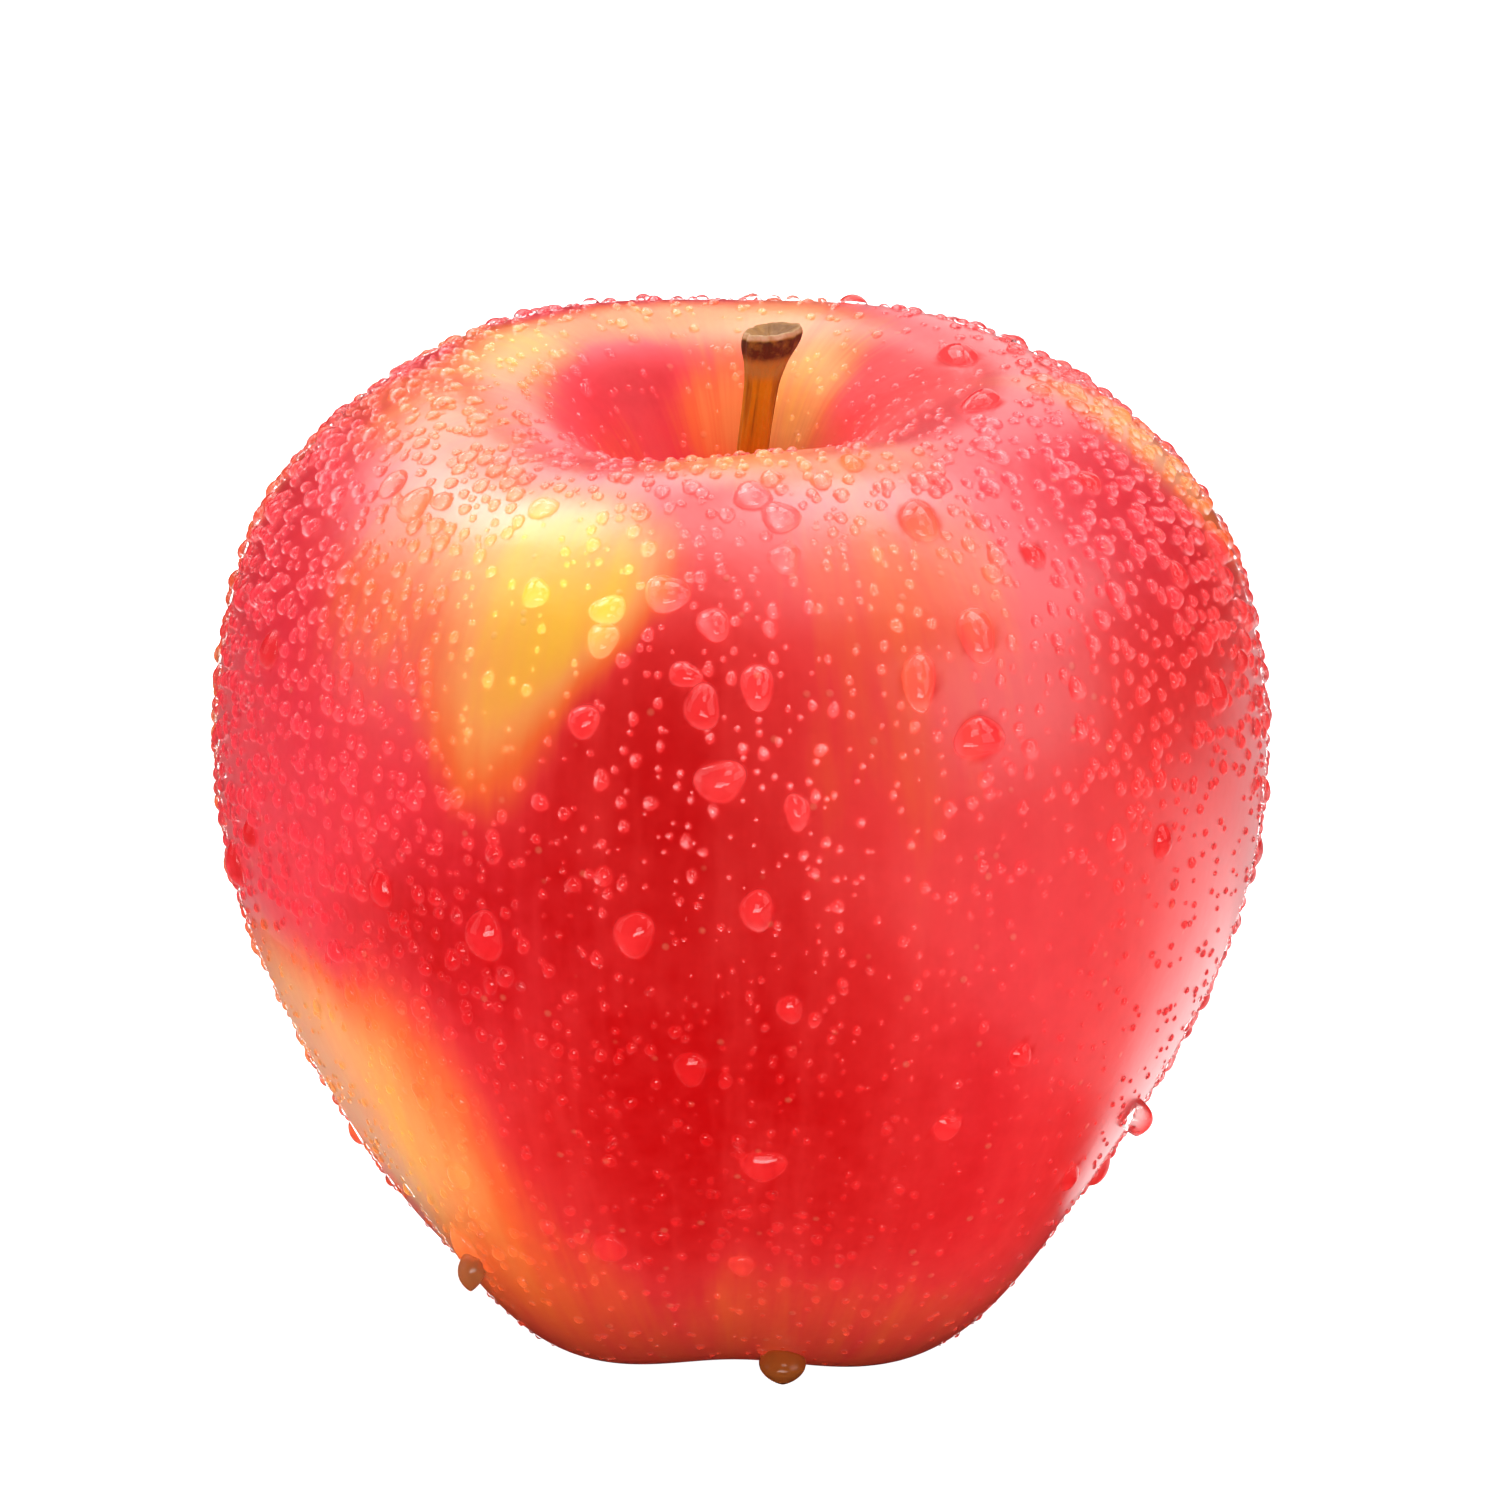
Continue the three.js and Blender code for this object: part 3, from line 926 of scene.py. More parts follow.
@dataclass
class DropField:
    """Many drops in one mesh, each a row of azimuth, latitude, width and length."""

    name: str
    drops: Array
    shape: DropShape
    seed: int
    form: FruitForm = FORM

    def build(self, water: bpy.types.Material) -> bpy.types.Object:
        """Makes the drops.

        A ring's point at an angle p stands from the drop's middle by its share of the half width times
        1 + w cos(2 p + a) + w cos(3 p + b), along the parallel and up the slope, and by its share of the
        height out of the skin. What is higher sits further down the slope, by the sag.

        Args:
            water: The material.

        Returns:
            The object.
        """
        shape = self.shape
        azimuth, latitude, width, length = self.drops.T
        draw = np.random.default_rng(self.seed)
        middle, along, slope, outward = self.form.axes_at(azimuth, self.form.place_at(latitude))
        wide, tall = (share[None, :, None] for share in shape.bead())
        angle = around(shape.sides)[0]
        first, second = draw.uniform(0, 2 * np.pi, (2, len(azimuth), 1, 1))
        reach = (1 + shape.wobble * (np.cos(2 * angle + first) + np.cos(3 * angle + second))) * wide
        tallest = shape.height * np.sqrt(width * length)
        half_width, half_length, high = (
            size[:, None, None] * MM for size in (width / 2, length / 2, tallest)
        )
        side = half_width * reach * np.cos(angle)
        up = half_length * reach * np.sin(angle) - shape.sag * half_length * np.maximum(tall, 0)
        rise = np.broadcast_to(np.where(tall < 0, -shape.sunk, tall) * high, side.shape)
        rings = middle[:, None, None, :]
        for axis, part in (along, side), (slope, up), (outward, rise):
            rings = rings + axis[:, None, None, :] * part[..., None]
        top = middle + outward * high[:, :, 0] - slope * shape.sag * half_length[:, :, 0]
        root = middle - outward * (high * shape.sunk)[:, :, 0]
        item = build_mesh(self.name, *loft(rings, root, top))
        item.data.materials.append(water)
        return item


@dataclass(frozen=True)
class HangingDrop:
    """A drop about to fall, its sizes in millimetres, in water with the colour of the skin behind it."""

    name: str
    azimuth: float
    latitude: float
    half_width: float
    half_length: float
    hang: float
    colour: Colour
    clearness: float = 1.0
    tuck: float = 0.9
    fullness: float = 0.8
    taper: float = 0.28
    rings: int = 18
    sides: int = 32
    form: FruitForm = FORM

    def build(self) -> bpy.types.Object:
        """Makes the drop.

        Its rings are level circles whose radius follows sin(pi s)^0.8 (1 - 0.28 s) over the share s of its
        height from the bottom, and their middles move in under the skin with the square of s.

        Returns:
            The object.
        """
        share = ((np.arange(self.rings) + 0.5) / self.rings)[:, None]
        angle = around(self.sides)
        hold = self.form.point_at(self.azimuth, self.latitude) / MM
        turn = np.radians(self.azimuth)
        inward = np.array([-np.cos(turn), -np.sin(turn)]) * self.tuck
        wide = self.half_width * np.sin(np.pi * share) ** self.fullness * (1 - self.taper * share)
        x = hold[0] + inward[0] * share**2 + wide * np.cos(angle)
        y = hold[1] + inward[1] * share**2 + wide * np.sin(angle)
        middle = hold[2] - self.hang
        height = middle + self.half_length * (2 * share - 1) + 0 * angle
        low = [hold[0], hold[1], middle - self.half_length]
        high = [hold[0] + inward[0], hold[1] + inward[1], middle + self.half_length]
        rings = np.stack([x, y, height], -1)[None] * MM
        item = build_mesh(self.name, *loft(rings, np.array([low]) * MM, np.array([high]) * MM))
        water = WaterFinish(f"{self.name}_water", self.colour, self.clearness)
        item.data.materials.append(water.material())
        return item


@dataclass(frozen=True)
class Spread:
    """How drops of one kind are strewn over the skin, in millimetres and degrees."""

    spacing: float
    latitudes: Pair
    room: float
    seed: int
    jitter: float = 0.42
    table_steps: int = 2000

    def points(self, form: FruitForm) -> tuple[Array, Array]:
        """Azimuths and latitudes of points about a spacing apart.

        Rows a spacing apart along the section hold as many points as fit around them, and each point is
        then moved at random by up to the jitter's share of the spacing both ways.

        Args:
            form: The fruit's form.

        Returns:
            Two arrays.
        """
        draw = np.random.default_rng(self.seed)
        places = np.linspace(*form.place_at(np.array(self.latitudes)), self.table_steps)
        radius, height = form.profile(places)
        length = np.concatenate([[0.0], np.cumsum(np.hypot(np.diff(radius), np.diff(height)))])
        rows = np.arange(0, length[-1], self.spacing)
        counts = np.maximum(1, (2 * np.pi * np.interp(rows, length, radius) / self.spacing)).astype(int)
        row = np.repeat(np.arange(len(rows)), counts)
        number = np.arange(len(row)) - np.repeat(np.cumsum(counts) - counts, counts)
        shift = draw.uniform(-self.jitter, self.jitter, (2, len(row)))
        azimuth = (360 * (number + shift[0] + 0.5 * (row % 2)) / counts[row]) % 360
        along = np.clip(rows[row] + self.spacing * shift[1], 0, length[-1])
        return azimuth, form.latitude_at(np.interp(along, length, places))

    def clear_of(self, form: FruitForm, azimuth: Array, latitude: Array, others: Array) -> Array:
        """Which points are clear of other drops by their half widths and some room.

        Args:
            form: The fruit's form.
            azimuth: The points' azimuths, in degrees.
            latitude: Their latitudes, in degrees.
            others: The other drops, each as azimuth, latitude, width and length.

        Returns:
            True for each point that is clear.
        """
        here = form.skin(azimuth, form.place_at(latitude))
        there = form.skin(others[:, 0], form.place_at(others[:, 1]))
        apart = np.linalg.norm(here[:, None] - there[None], axis=-1) / MM
        return (apart > others[None, :, 2:4].max(-1) / 2 + self.room).all(1)


@dataclass
class Wetness:
    """All the water on the fruit, from the fine mist to the drops about to fall."""

    form: FruitForm = FORM
    finish: WaterFinish = WaterFinish()
    large_shape: DropShape = DropShape(28, 7, 62, 0.29, 0.16, 0.07)
    middle_shape: DropShape = DropShape(20, 5, 60, 0.28, 0.12, 0.06)
    fine_shape: DropShape = DropShape(10, 3, 68, 0.33, 0.1, 0.07)
    mist_shape: DropShape = DropShape(8, 2, 68, 0.32, 0.05, 0.05)
    large: tuple[tuple[float, float, float, float], ...] = (
        (261, 41, 3.0, 3.0), (267, 38, 2.3, 2.4), (254, 39, 2.6, 2.2), (254, 36, 2.4, 2.4),
        (244, 40, 2.0, 2.4), (272, 32, 2.4, 3.0), (266, 30, 2.6, 3.0), (264, 33, 2.3, 1.8),
        (268, 23, 3.6, 2.9), (276, 50, 2.6, 3.0), (272, 53, 2.9, 2.8), (276, 45, 2.4, 2.4),
        (218, 46, 2.7, 3.0), (298, 36, 2.9, 3.8), (290, 32, 2.4, 4.0), (296, 26, 3.6, 3.0),
        (276, 20, 1.8, 2.6), (259, 7, 3.0, 3.3), (20, 62, 4.4, 2.6), (337, 61, 4.4, 2.6),
        (242, 5, 2.8, 4.0), (273, -22, 3.2, 3.0), (211, 47, 2.0, 2.6), (310, 43, 1.8, 2.2),
    )
    hanging: tuple[HangingDrop, ...] = (
        HangingDrop("drop_hanging_right", 331, -24, 1.5, 1.7, 0.9, (0.99, 0.93, 0.90)),
        HangingDrop("drop_hanging_left", 226, -41, 1.2, 1.9, 1.1, (0.46, 0.15, 0.05), 0.4),
        HangingDrop("drop_hanging_base", 279, -57, 1.95, 1.7, 0.7, (0.42, 0.105, 0.02), 0.15),
    )
    scatter_count: int = 60
    scatter_latitudes: Pair = (-42, 62)
    scatter_widths: Pair = (1.8, 3.2)
    scatter_stretch: float = 0.35
    scatter_spacing: float = 5.5
    scatter_seed: int = 7
    bare: tuple[Mark, ...] = (Mark(333, -10, 19, 28, 0, 0.2), Mark(203, -26, 20, 26, 0, 0.2))
    zones: tuple[tuple[Mark, Zone], ...] = (
        (Mark(268, 14, 24, 34, 0, 0.3), Zone.MISTED), (Mark(268, -24, 40, 24, 0, 0.4), Zone.MISTED),
        (Mark(312, -22, 26, 30, 0, 0.3), Zone.WIPED), (Mark(294, 22, 15, 22, 0, 0.5, 0.5), Zone.WIPED),
        (Mark(0, -72, 400, 28, 0, 0.2), Zone.WIPED), (Mark(0, 90, 400, 26, 0, 0.15), Zone.WIPED),
        (Mark(90, 64, 80, 6, 0, 0.3), Zone.MISTED), (Mark(130, -10, 40, 30, 0, 0.5), Zone.BEADED),
        (Mark(203, -26, 20, 26, 0, 0.3), Zone.WIPED), (Mark(333, -10, 19, 28, 0, 0.3), Zone.WIPED),
        (Mark(244, 36, 9, 15, 0, 0.4, 0.8), Zone.WIPED),
    )
    soaking_azimuth: float = 350.0
    soaking_reach: float = 66.0
    soaking_below: float = 35.0
    fine: Spread = Spread(1.55, (-62, 78), 0.25, 21)
    fine_split: float = 16.5
    fine_width: float = 0.95
    fine_variation: float = 0.28
    fine_limits: Pair = (0.4, 1.7)
    fine_stretch: float = 0.3
    mist: Spread = Spread(1.9, (-58, 74), 0.1, 34)
    mist_share: float = 0.62
    mist_width: float = 0.45
    mist_variation: float = 0.25
    mist_stretch: float = 1.05

    def scattered(self) -> Array:
        """Middle-sized drops at random, clear of the large ones and outside the bare patches.

        Returns:
            The drops, each as azimuth, latitude, width and length.
        """
        factor, modulus = 16807, 2147483647
        state = self.scatter_seed

        def draw() -> float:
            """The next number from 0 to 1 of a multiplying generator.

            Returns:
                The number.
            """
            nonlocal state
            state = state * factor % modulus
            return state / modulus

        low, high = np.sin(np.radians(self.scatter_latitudes))
        small, big = self.scatter_widths
        taken = [self.form.point_at(azimuth, latitude) for azimuth, latitude, _, _ in self.large]
        found: list[tuple[float, float, float, float]] = []
        while len(found) < self.scatter_count:
            azimuth = 360 * draw()
            latitude = float(np.degrees(np.arcsin(low + (high - low) * draw())))
            width = small + (big - small) * draw() ** 2
            length = width * (1 + self.scatter_stretch * draw())
            point = self.form.point_at(azimuth, latitude)
            if min(np.linalg.norm(point - other) for other in taken) > self.scatter_spacing * MM:
                taken.append(point)
                found.append((azimuth, latitude, width, length))
        drops = np.array(found)
        covered = [mark.cover(drops[:, 0], drops[:, 1]) for mark in self.bare]
        return drops[np.max(covered, axis=0) < 0.5]

    def larger(self) -> Array:
        """The large and the middle-sized drops, each as azimuth, latitude, width and length."""
        return np.concatenate([np.array(self.large), self.scattered()])

    def soaking_and_shading(self) -> Array:
        """The larger drops with painted shade below them: those on the fruit's right, and all below its
        shoulders.

        Returns:
            The drops, each as azimuth, latitude, width and length.
        """
        drops = self.larger()
        toward = cosine_from(self.soaking_azimuth, np.radians(drops[:, 0]))
        return drops[(toward > np.cos(np.radians(self.soaking_reach))) | (drops[:, 1] < self.soaking_below)]

    def build(self) -> list[bpy.types.Object]:
        """Makes every group of drops.

        Returns:
            The pieces.
        """
        water = self.finish.material()
        large, middle, larger = np.array(self.large), self.scattered(), self.larger()
        fields = [
            DropField("drops_large", large, self.large_shape, seed=3),
            DropField("drops_middle", middle, self.middle_shape, seed=4),
        ]
        pieces = [drops.build(water) for drops in fields]
        pieces += [drop.build() for drop in self.hanging]
        fields = [*self._fine_drops(larger), self._mist(larger)]
        return pieces + [drops.build(water) for drops in fields]

    def _zoned(self, azimuth: Array, latitude: Array) -> tuple[Array, Array]:
        """Share of the fine drops that stay and the size of each, by where it lies.

        Args:
            azimuth: In degrees.
            latitude: In degrees.

        Returns:
            The share that stays, and the size over the usual one.
        """
        value = np.broadcast_to(np.array(Zone.SOAKED.value)[:, None], (2, len(azimuth))).copy()
        for mark, zone in self.zones:
            value = value + (np.array(zone.value)[:, None] - value) * mark.cover(azimuth, latitude)
        return value[0], value[1]

    def _fine_drops(self, larger: Array) -> list[DropField]:
        """The fine drops that cover most of the skin, in an upper and a lower group.

        Args:
            larger: The drops that they keep clear of.

        Returns:
            The two groups.
        """
        azimuth, latitude = self.fine.points(self.form)
        draw = np.random.default_rng(self.fine.seed + 1)
        share, size = self._zoned(azimuth, latitude)
        count = len(azimuth)
        chance, variation, stretch = draw.random(count), draw.normal(size=count), draw.random(count)
        stay = (chance < share) & self.fine.clear_of(self.form, azimuth, latitude, larger)
        width = np.clip(self.fine_width * size * np.exp(self.fine_variation * variation), *self.fine_limits)
        drops = np.stack([azimuth, latitude, width, width * (1 + self.fine_stretch * stretch)], -1)
        upper = latitude >= self.fine_split
        return [
            DropField("drops_fine_upper", drops[stay & upper], self.fine_shape, seed=50),
            DropField("drops_fine_lower", drops[stay & ~upper], self.fine_shape, seed=51),
        ]

    def _mist(self, larger: Array) -> DropField:
        """The smallest drops, between the others.

        Args:
            larger: The drops that they keep clear of.

        Returns:
            The group.
        """
        azimuth, latitude = self.mist.points(self.form)
        draw = np.random.default_rng(self.mist.seed + 1)
        width = self.mist_width * np.exp(self.mist_variation * draw.normal(size=len(azimuth)))
        stay = draw.random(len(azimuth)) < self.mist_share
        stay = stay & self.mist.clear_of(self.form, azimuth, latitude, larger)
        drops = np.stack([azimuth, latitude, width, width * self.mist_stretch], -1)
        return DropField("drops_mist", drops[stay], self.mist_shape, seed=70)


# ------------------------------------------------------------------ stem


@dataclass(frozen=True)
class StemFinish:
    """Weathered wood: golden shaft, olive knob dark below its top edge, and a painted highlight on the
    front of the edge of its cut face.
    """

    shaft: Colour = (0.58, 0.23, 0.004)
    shade: Colour = (0.20, 0.065, 0.004)
    knob: Colour = (0.42, 0.23, 0.045)
    band: Colour = (0.10, 0.032, 0.012)
    face: Colour = (0.39, 0.175, 0.045)
    # Painted highlight on the front of the cut face's edge.
    rim_highlight: Colour = (0.72, 0.46, 0.27)
    dish: Colour = (0.24, 0.095, 0.02)
    roughness: float = 0.62
    spot_roughness: float = 0.2
    fibre_depth: float = 0.00018
    spot_depth: float = 0.00012
    cover: float = 0.75
    cover_spots: float = 1.6
    cover_gain: float = 1.25
    fibre_pattern: Pattern = (700, 3, 0.6)
    spot_pattern: Pattern = (1400, 3, 0.6)

    def material(self) -> bpy.types.Material:
        """The wood's material: fibres along the attribute grain, and a colour for each part's attribute.

        Returns:
            The material.
        """
        nodes = Nodes(bpy.data.materials.new("stem_wood"))
        fibre = nodes.noise(nodes.attribute("grain").outputs["Vector"], *self.fibre_pattern)
        spots = nodes.noise(nodes.position(), *self.spot_pattern)
        colour = nodes.ramp(fibre, [(0.28, self.shade), (0.5, self.shaft)])
        tints = {
            "knob": self.knob, "band": self.band, "face": self.face, "dish": self.dish, "rim_highlight": self.rim_highlight,
        }
        for name, tint in tints.items():
            cover = nodes.field(name) * (self.cover + spots.swing(self.cover_spots)) * self.cover_gain
            colour = nodes.blend(cover.held(), colour, tint)
        relief = nodes.bump(spots, self.spot_depth, nodes.bump(fibre, self.fibre_depth))
        return nodes.finish(nodes.shader("BsdfPrincipled", {
            "Base Color": colour, "Roughness": self.roughness + spots.swing(self.spot_roughness),
            "Normal": relief, "Specular IOR Level": 0.35,
        }))


@dataclass
class Stem:
    """The stem: a turned outline bent along its line, with grooves, a tilted knob and a dished end.

    A wave (depth, count, twist, phase) is depth cos(count turn + twist s + phase) over the share s of the
    length.
    """

    outline: tuple[Pair, ...] = (
        (0.9, 0.1), (1.2, 0.2), (1.5, 2), (1.5, 4.6), (1.25, 7), (1.12, 10), (1.12, 12.5), (1.15, 14.6),
        (1.22, 16.5), (1.46, 17.9), (1.86, 19.1), (1.97, 19.95), (1.8, 20.45), (1.2, 20.15), (0.1, 19.6),
    )
    grooves: tuple[Wave, ...] = ((0.05, 3, 2, 0), (0.018, 17, 5, 0), (0.0108, 34, -7, 1))
    knob_lumps: tuple[Wave, ...] = ((0.025, 7, 9, 1.3), (0.025, 3, -9, 1.3), (0.03, 11, 20, 0))
    band_zones: tuple[Pair, Pair] = ((0.67, 0.73), (0.81, 0.84))
    rim_zones: tuple[Pair, Pair] = ((0.82, 0.85), (0.88, 0.92))
    face_zone: Pair = (0.84, 0.88)
    dish_zone: Pair = (0.89, 0.95)
    dish_turn: float = 0.5
    root: tuple[float, float, float] = (-0.1, 0, 52.5)
    lean: Pair = (2.25, -0.2)
    bow: Pair = (-0.3, 0.5)
    length: float = 20.0
    knob_start: float = 16.0
    knob_zone: Pair = (0.02, 0.3)
    knob_tilt: Pair = (0.1, 0.03)
    knob_lip: float = 0.22
    knob_lip_azimuth: float = 8.0
    knob_lip_sharpness: int = 6
    grain_radius: float = 2.0
    grain_stretch: float = 9.0
    sides: int = 96
    rows: int = 190
    rows_per_knot: int = 6
    finish: StemFinish = StemFinish()

    @staticmethod
    def _waves(table: Sequence[Wave], turn: Array, part: Array) -> Array:
        """The sum of a table's waves at each turn and each part of the length.

        Args:
            table: The waves.
            turn: Angles around the stem, in radians.
            part: Heights over the length.

        Returns:
            The sum.
        """
        return sum(
            depth * np.cos(count * turn + twist * part + phase) for depth, count, twist, phase in table
        )

    def build(self) -> bpy.types.Object:
        """Makes the stem.

        The radius is the outline's, times 1 plus grooves that twist with height and, on the knob, lumps
        and a lip on one side. The centre line leans by a share of the height and bows by 4 s (1 - s).
        The knob's heights tilt with their place across it.

        Returns:
            The object.
        """
        share = np.linspace(0, 1, self.rows)
        corners = np.linspace(0, 1, len(self.outline))
        knots = [np.interp(share[::self.rows_per_knot], corners, column) for column in zip(*self.outline)]
        radius, height = (column[:, None] for column in spline(np.stack(knots, -1), share).T)
        turn = around(self.sides)
        part = height / self.length
        knob = ease(self.knob_start, self.length, height)
        lip = np.maximum(0, cosine_from(self.knob_lip_azimuth, turn)) ** self.knob_lip_sharpness
        swollen = (self.knob_lip * lip + self._waves(self.knob_lumps, turn, part)) * knob
        girth = radius * (1 + self._waves(self.grooves, turn, part) + swollen)
        x, y = girth * np.cos(turn), girth * np.sin(turn)
        bow = 4 * part * (1 - part)
        centre = [self.root[i] + self.lean[i] * part + self.bow[i] * bow for i in (0, 1)]
        tall = self.root[2] + height + (self.knob_tilt[0] * x + self.knob_tilt[1] * y) * knob
        item = build_mesh("stem_wood", *loft_one(np.stack([centre[0] + x, centre[1] + y, tall], -1) * MM))
        self._paint(item, turn, height, knob, share[:, None])
        item.data.materials.append(self.finish.material())
        return item

    def _paint(self, item: bpy.types.Object, turn: Array, height: Array, knob: Array, share: Array) -> None:
        """Fills the attributes that the finish reads.

        Args:
            item: The stem.
            turn: Angles around it.
            height: Heights of its rows.
            knob: How much each row belongs to the knob.
            share: Places of the rows along the outline, from 0 to 1.
        """
        face = ease(*self.face_zone, share)
        grain = np.broadcast_arrays(
            self.grain_radius * np.cos(turn), self.grain_radius * np.sin(turn), height / self.grain_stretch,
        )
        covers = {
            "knob": ease(*self.knob_zone, knob) * (1 - face),
            "band": between(share, *self.band_zones),
            "face": face,
            "dish": ease(*self.dish_zone, share) * (0.5 + 0.5 * np.cos(turn - self.dish_turn)),
            # Painted highlight on the front half of that edge.
            "rim_highlight": between(share, *self.rim_zones) * (0.5 - 0.5 * np.sin(turn)),
        }
        store(item, "grain", np.stack(grain, -1) * MM)
        for name, cover in covers.items():
            store(item, name, cover + 0 * turn)


# ------------------------------------------------------------------ calyx


@dataclass(frozen=True)
class CalyxFinish:
    """Dry, felted leaf: grey brown, darker in its folds."""

    dark: Colour = (0.05, 0.03, 0.018)
    light: Colour = (0.24, 0.17, 0.10)
    roughness: float = 0.9
    patch_roughness: float = 0.15
    felt_depth: float = 0.00025
    felt_pattern: Pattern = (2200, 3, 0.7)
    patch_pattern: Pattern = (500, 2, 0.5)

    def material(self) -> bpy.types.Material:
        """The calyx's material: felt from fine noise.

        Returns:
            The material.
        """
        nodes = Nodes(bpy.data.materials.new("dry_calyx"))
        place = nodes.position()
        felt = nodes.noise(place, *self.felt_pattern)
        patch = nodes.noise(place, *self.patch_pattern)
        return nodes.finish(nodes.shader("BsdfPrincipled", {
            "Base Color": nodes.ramp((felt + patch) * 0.5, [(0.3, self.dark), (0.7, self.light)]),
            "Roughness": self.roughness - patch * self.patch_roughness,
            "Normal": nodes.bump(felt, self.felt_depth),
            "Sheen Weight": 0.3, "Sheen Roughness": 0.5, "Specular IOR Level": 0.2,
        }))


@dataclass(frozen=True)
class Sepal:
    """One dried sepal of the calyx, its sizes in millimetres."""

    length: float = 6.4
    width: float = 2.3
    thickness: float = 0.5
    root: float = 1.9
    root_height: float = 8.3
    narrowing: float = 0.97
    taper: float = 0.25
    raggedness: float = 0.05
    ragged_waves: float = 23.0
    ragged_shift: float = 3.0
    thinning: float = 0.6
    hug: float = 0.3
    hug_rate: float = 1.4
    flare: float = 1.7
    curl: float = 0.5
    cup: float = 0.18
    crease: float = 0.06
    crease_waves: float = 9.0
    stretch: float = 0.06
    droop: float = 0.22
    lean: float = 0.5
    rows: int = 36
    sides: int = 18

    def surface(self, azimuth: float, bend: float, reach: float, curl: float) -> Surface:
        """A pointed blade, closed around its edge.

        Along its length s its half width is sqrt(1 - 0.97 s) (1 - s / 4), it pulls in by a sine, curls
        out by s cubed, and bends inwards with the square of the distance from its midrib.

        Args:
            azimuth: Where it grows, in radians.
            bend: From -1 to 1, how much it leans sideways.
            reach: From -1 to 1, how long it is.
            curl: From -1 to 1, how much its tip curls.

        Returns:
            Its points, quads and triangles.
        """
        share = np.linspace(0, 1, self.rows)[:, None]
        turn = around(self.sides)
        half = self.width / 2 * np.sqrt(1 - self.narrowing * share) * (1 - self.taper * share)
        ragged = np.sin(self.ragged_waves * share + self.ragged_shift * bend)
        side = half * (1 + self.raggedness * ragged) * np.cos(turn)
        thick = self.thickness / 2 * (1 - self.thinning * share) * np.sin(turn)
        belly = self.hug * np.sin(np.pi * np.minimum(1, self.hug_rate * share))
        out = self.root - belly + (self.flare + self.curl * curl) * share**3 + thick
        out = out - self.cup * side * side + self.crease * np.cos(self.crease_waves * side) * share
        fall = self.length * (1 + self.stretch * reach) * (share - self.droop * share**3)
        side = side + self.lean * bend * share**2
        x = out * np.cos(azimuth) - side * np.sin(azimuth)
        y = out * np.sin(azimuth) + side * np.cos(azimuth)
        return loft_one(np.stack([x, y, self.root_height - fall + 0 * turn], -1) * MM)


@dataclass(frozen=True)
class Stamen:
    """What is left of one stamen, its sizes in millimetres."""

    length: float = 2.8
    thickness: float = 0.16
    root_height: float = 8.0
    ring: float = 0.45
    ring_step: float = 0.5
    lean: float = 0.25
    stretch: float = 0.15
    thinning: float = 0.4
    head: float = 1.1
    head_zone: Pair = (0.75, 0.95)
    rows: int = 12
    sides: int = 8

    def surface(self, azimuth: float, outer: bool, lean: float, reach: float) -> Surface:
        """A thin thread that leans out and ends in a small head.

        Over the share s of its length its middle moves out in proportion to s, and its radius falls with
        s and swells smoothly near the end.

        Args:
            azimuth: Where it grows, in radians.
            outer: Whether it grows in the outer of the two rings.
            lean: From -1 to 1, how much it leans out.
            reach: From -1 to 1, how long it is.

        Returns:
            Its points, quads and triangles.
        """
        share = np.linspace(0, 1, self.rows)[:, None]
        turn = around(self.sides)
        distance = self.ring + self.ring_step * outer + self.lean * (1 + lean) * share
        thread = self.thickness * (1 - self.thinning * share + self.head * ease(*self.head_zone, share))
        x = distance * np.cos(azimuth) + thread * np.cos(turn)
        y = distance * np.sin(azimuth) - thread * np.sin(turn)
        height = self.root_height - self.length * (1 + self.stretch * reach) * share + 0 * turn
        return loft_one(np.stack([x, y, height], -1) * MM)


@dataclass
class Calyx:
    """The dried calyx: a cup, five sepals and the stamens' remains."""

    sepals: int = 5
    sepal: Sepal = Sepal()
    rib_azimuth: float = 90.0
    twist: float = 14.0
    cup_outline: tuple[Pair, ...] = ((1.7, 7.4), (2.4, 7.8), (2.6, 8.3), (2.6, 9.6))
    cup_sides: int = 48
    puckers: int = 15
    pucker_depth: float = 0.02
    stamens: int = 15
    stamen: Stamen = Stamen()
    stamen_shift: float = 0.3
    seed: int = 5
    finish: CalyxFinish = CalyxFinish()

    def build(self) -> bpy.types.Object:
        """Makes the cup, the sepals and the stamens as one piece.

        Returns:
            The object.
        """
        draw = np.random.default_rng(self.seed)
        parts = [self._cup()]
        for number in range(self.sepals):
            azimuth = np.radians(self.rib_azimuth + 360 / self.sepals * (number + 0.5) + self.twist)
            parts.append(self.sepal.surface(azimuth, *draw.uniform(-1, 1, 3)))
        for number in range(self.stamens):
            lean, reach, shift = draw.uniform(-1, 1, 3)
            azimuth = 2 * np.pi * number / self.stamens + self.stamen_shift * shift
            parts.append(self.stamen.surface(azimuth, bool(number % 2), lean, reach))
        item = build_mesh("calyx_dried", *merge_parts(parts))
        item.data.materials.append(self.finish.material())
        return item

    def _cup(self) -> Surface:
        """The cup: its outline turned about Z, going up the outside, with its radius puckered by a cosine.

        Returns:
            Its points, quads and triangles.
        """
        turn = around(self.cup_sides)
        radius, height = (np.array(column)[:, None] for column in zip(*self.cup_outline))
        puckered = radius * (1 + self.pucker_depth * np.cos(self.puckers * turn))
        rings = np.stack([puckered * np.cos(turn), puckered * np.sin(turn), height + 0 * turn], -1)
        return loft_one(rings * MM)


# ------------------------------------------------------------------ studio


class Reach(Enum):
    """What a light does, as (it lights matt surfaces, it shows in glossy ones, it shines through water)."""

    WHOLE = (True, True, True)
    FILL = (True, False, False)
    SHEEN = (False, True, False)
    GLINT = (False, True, True)


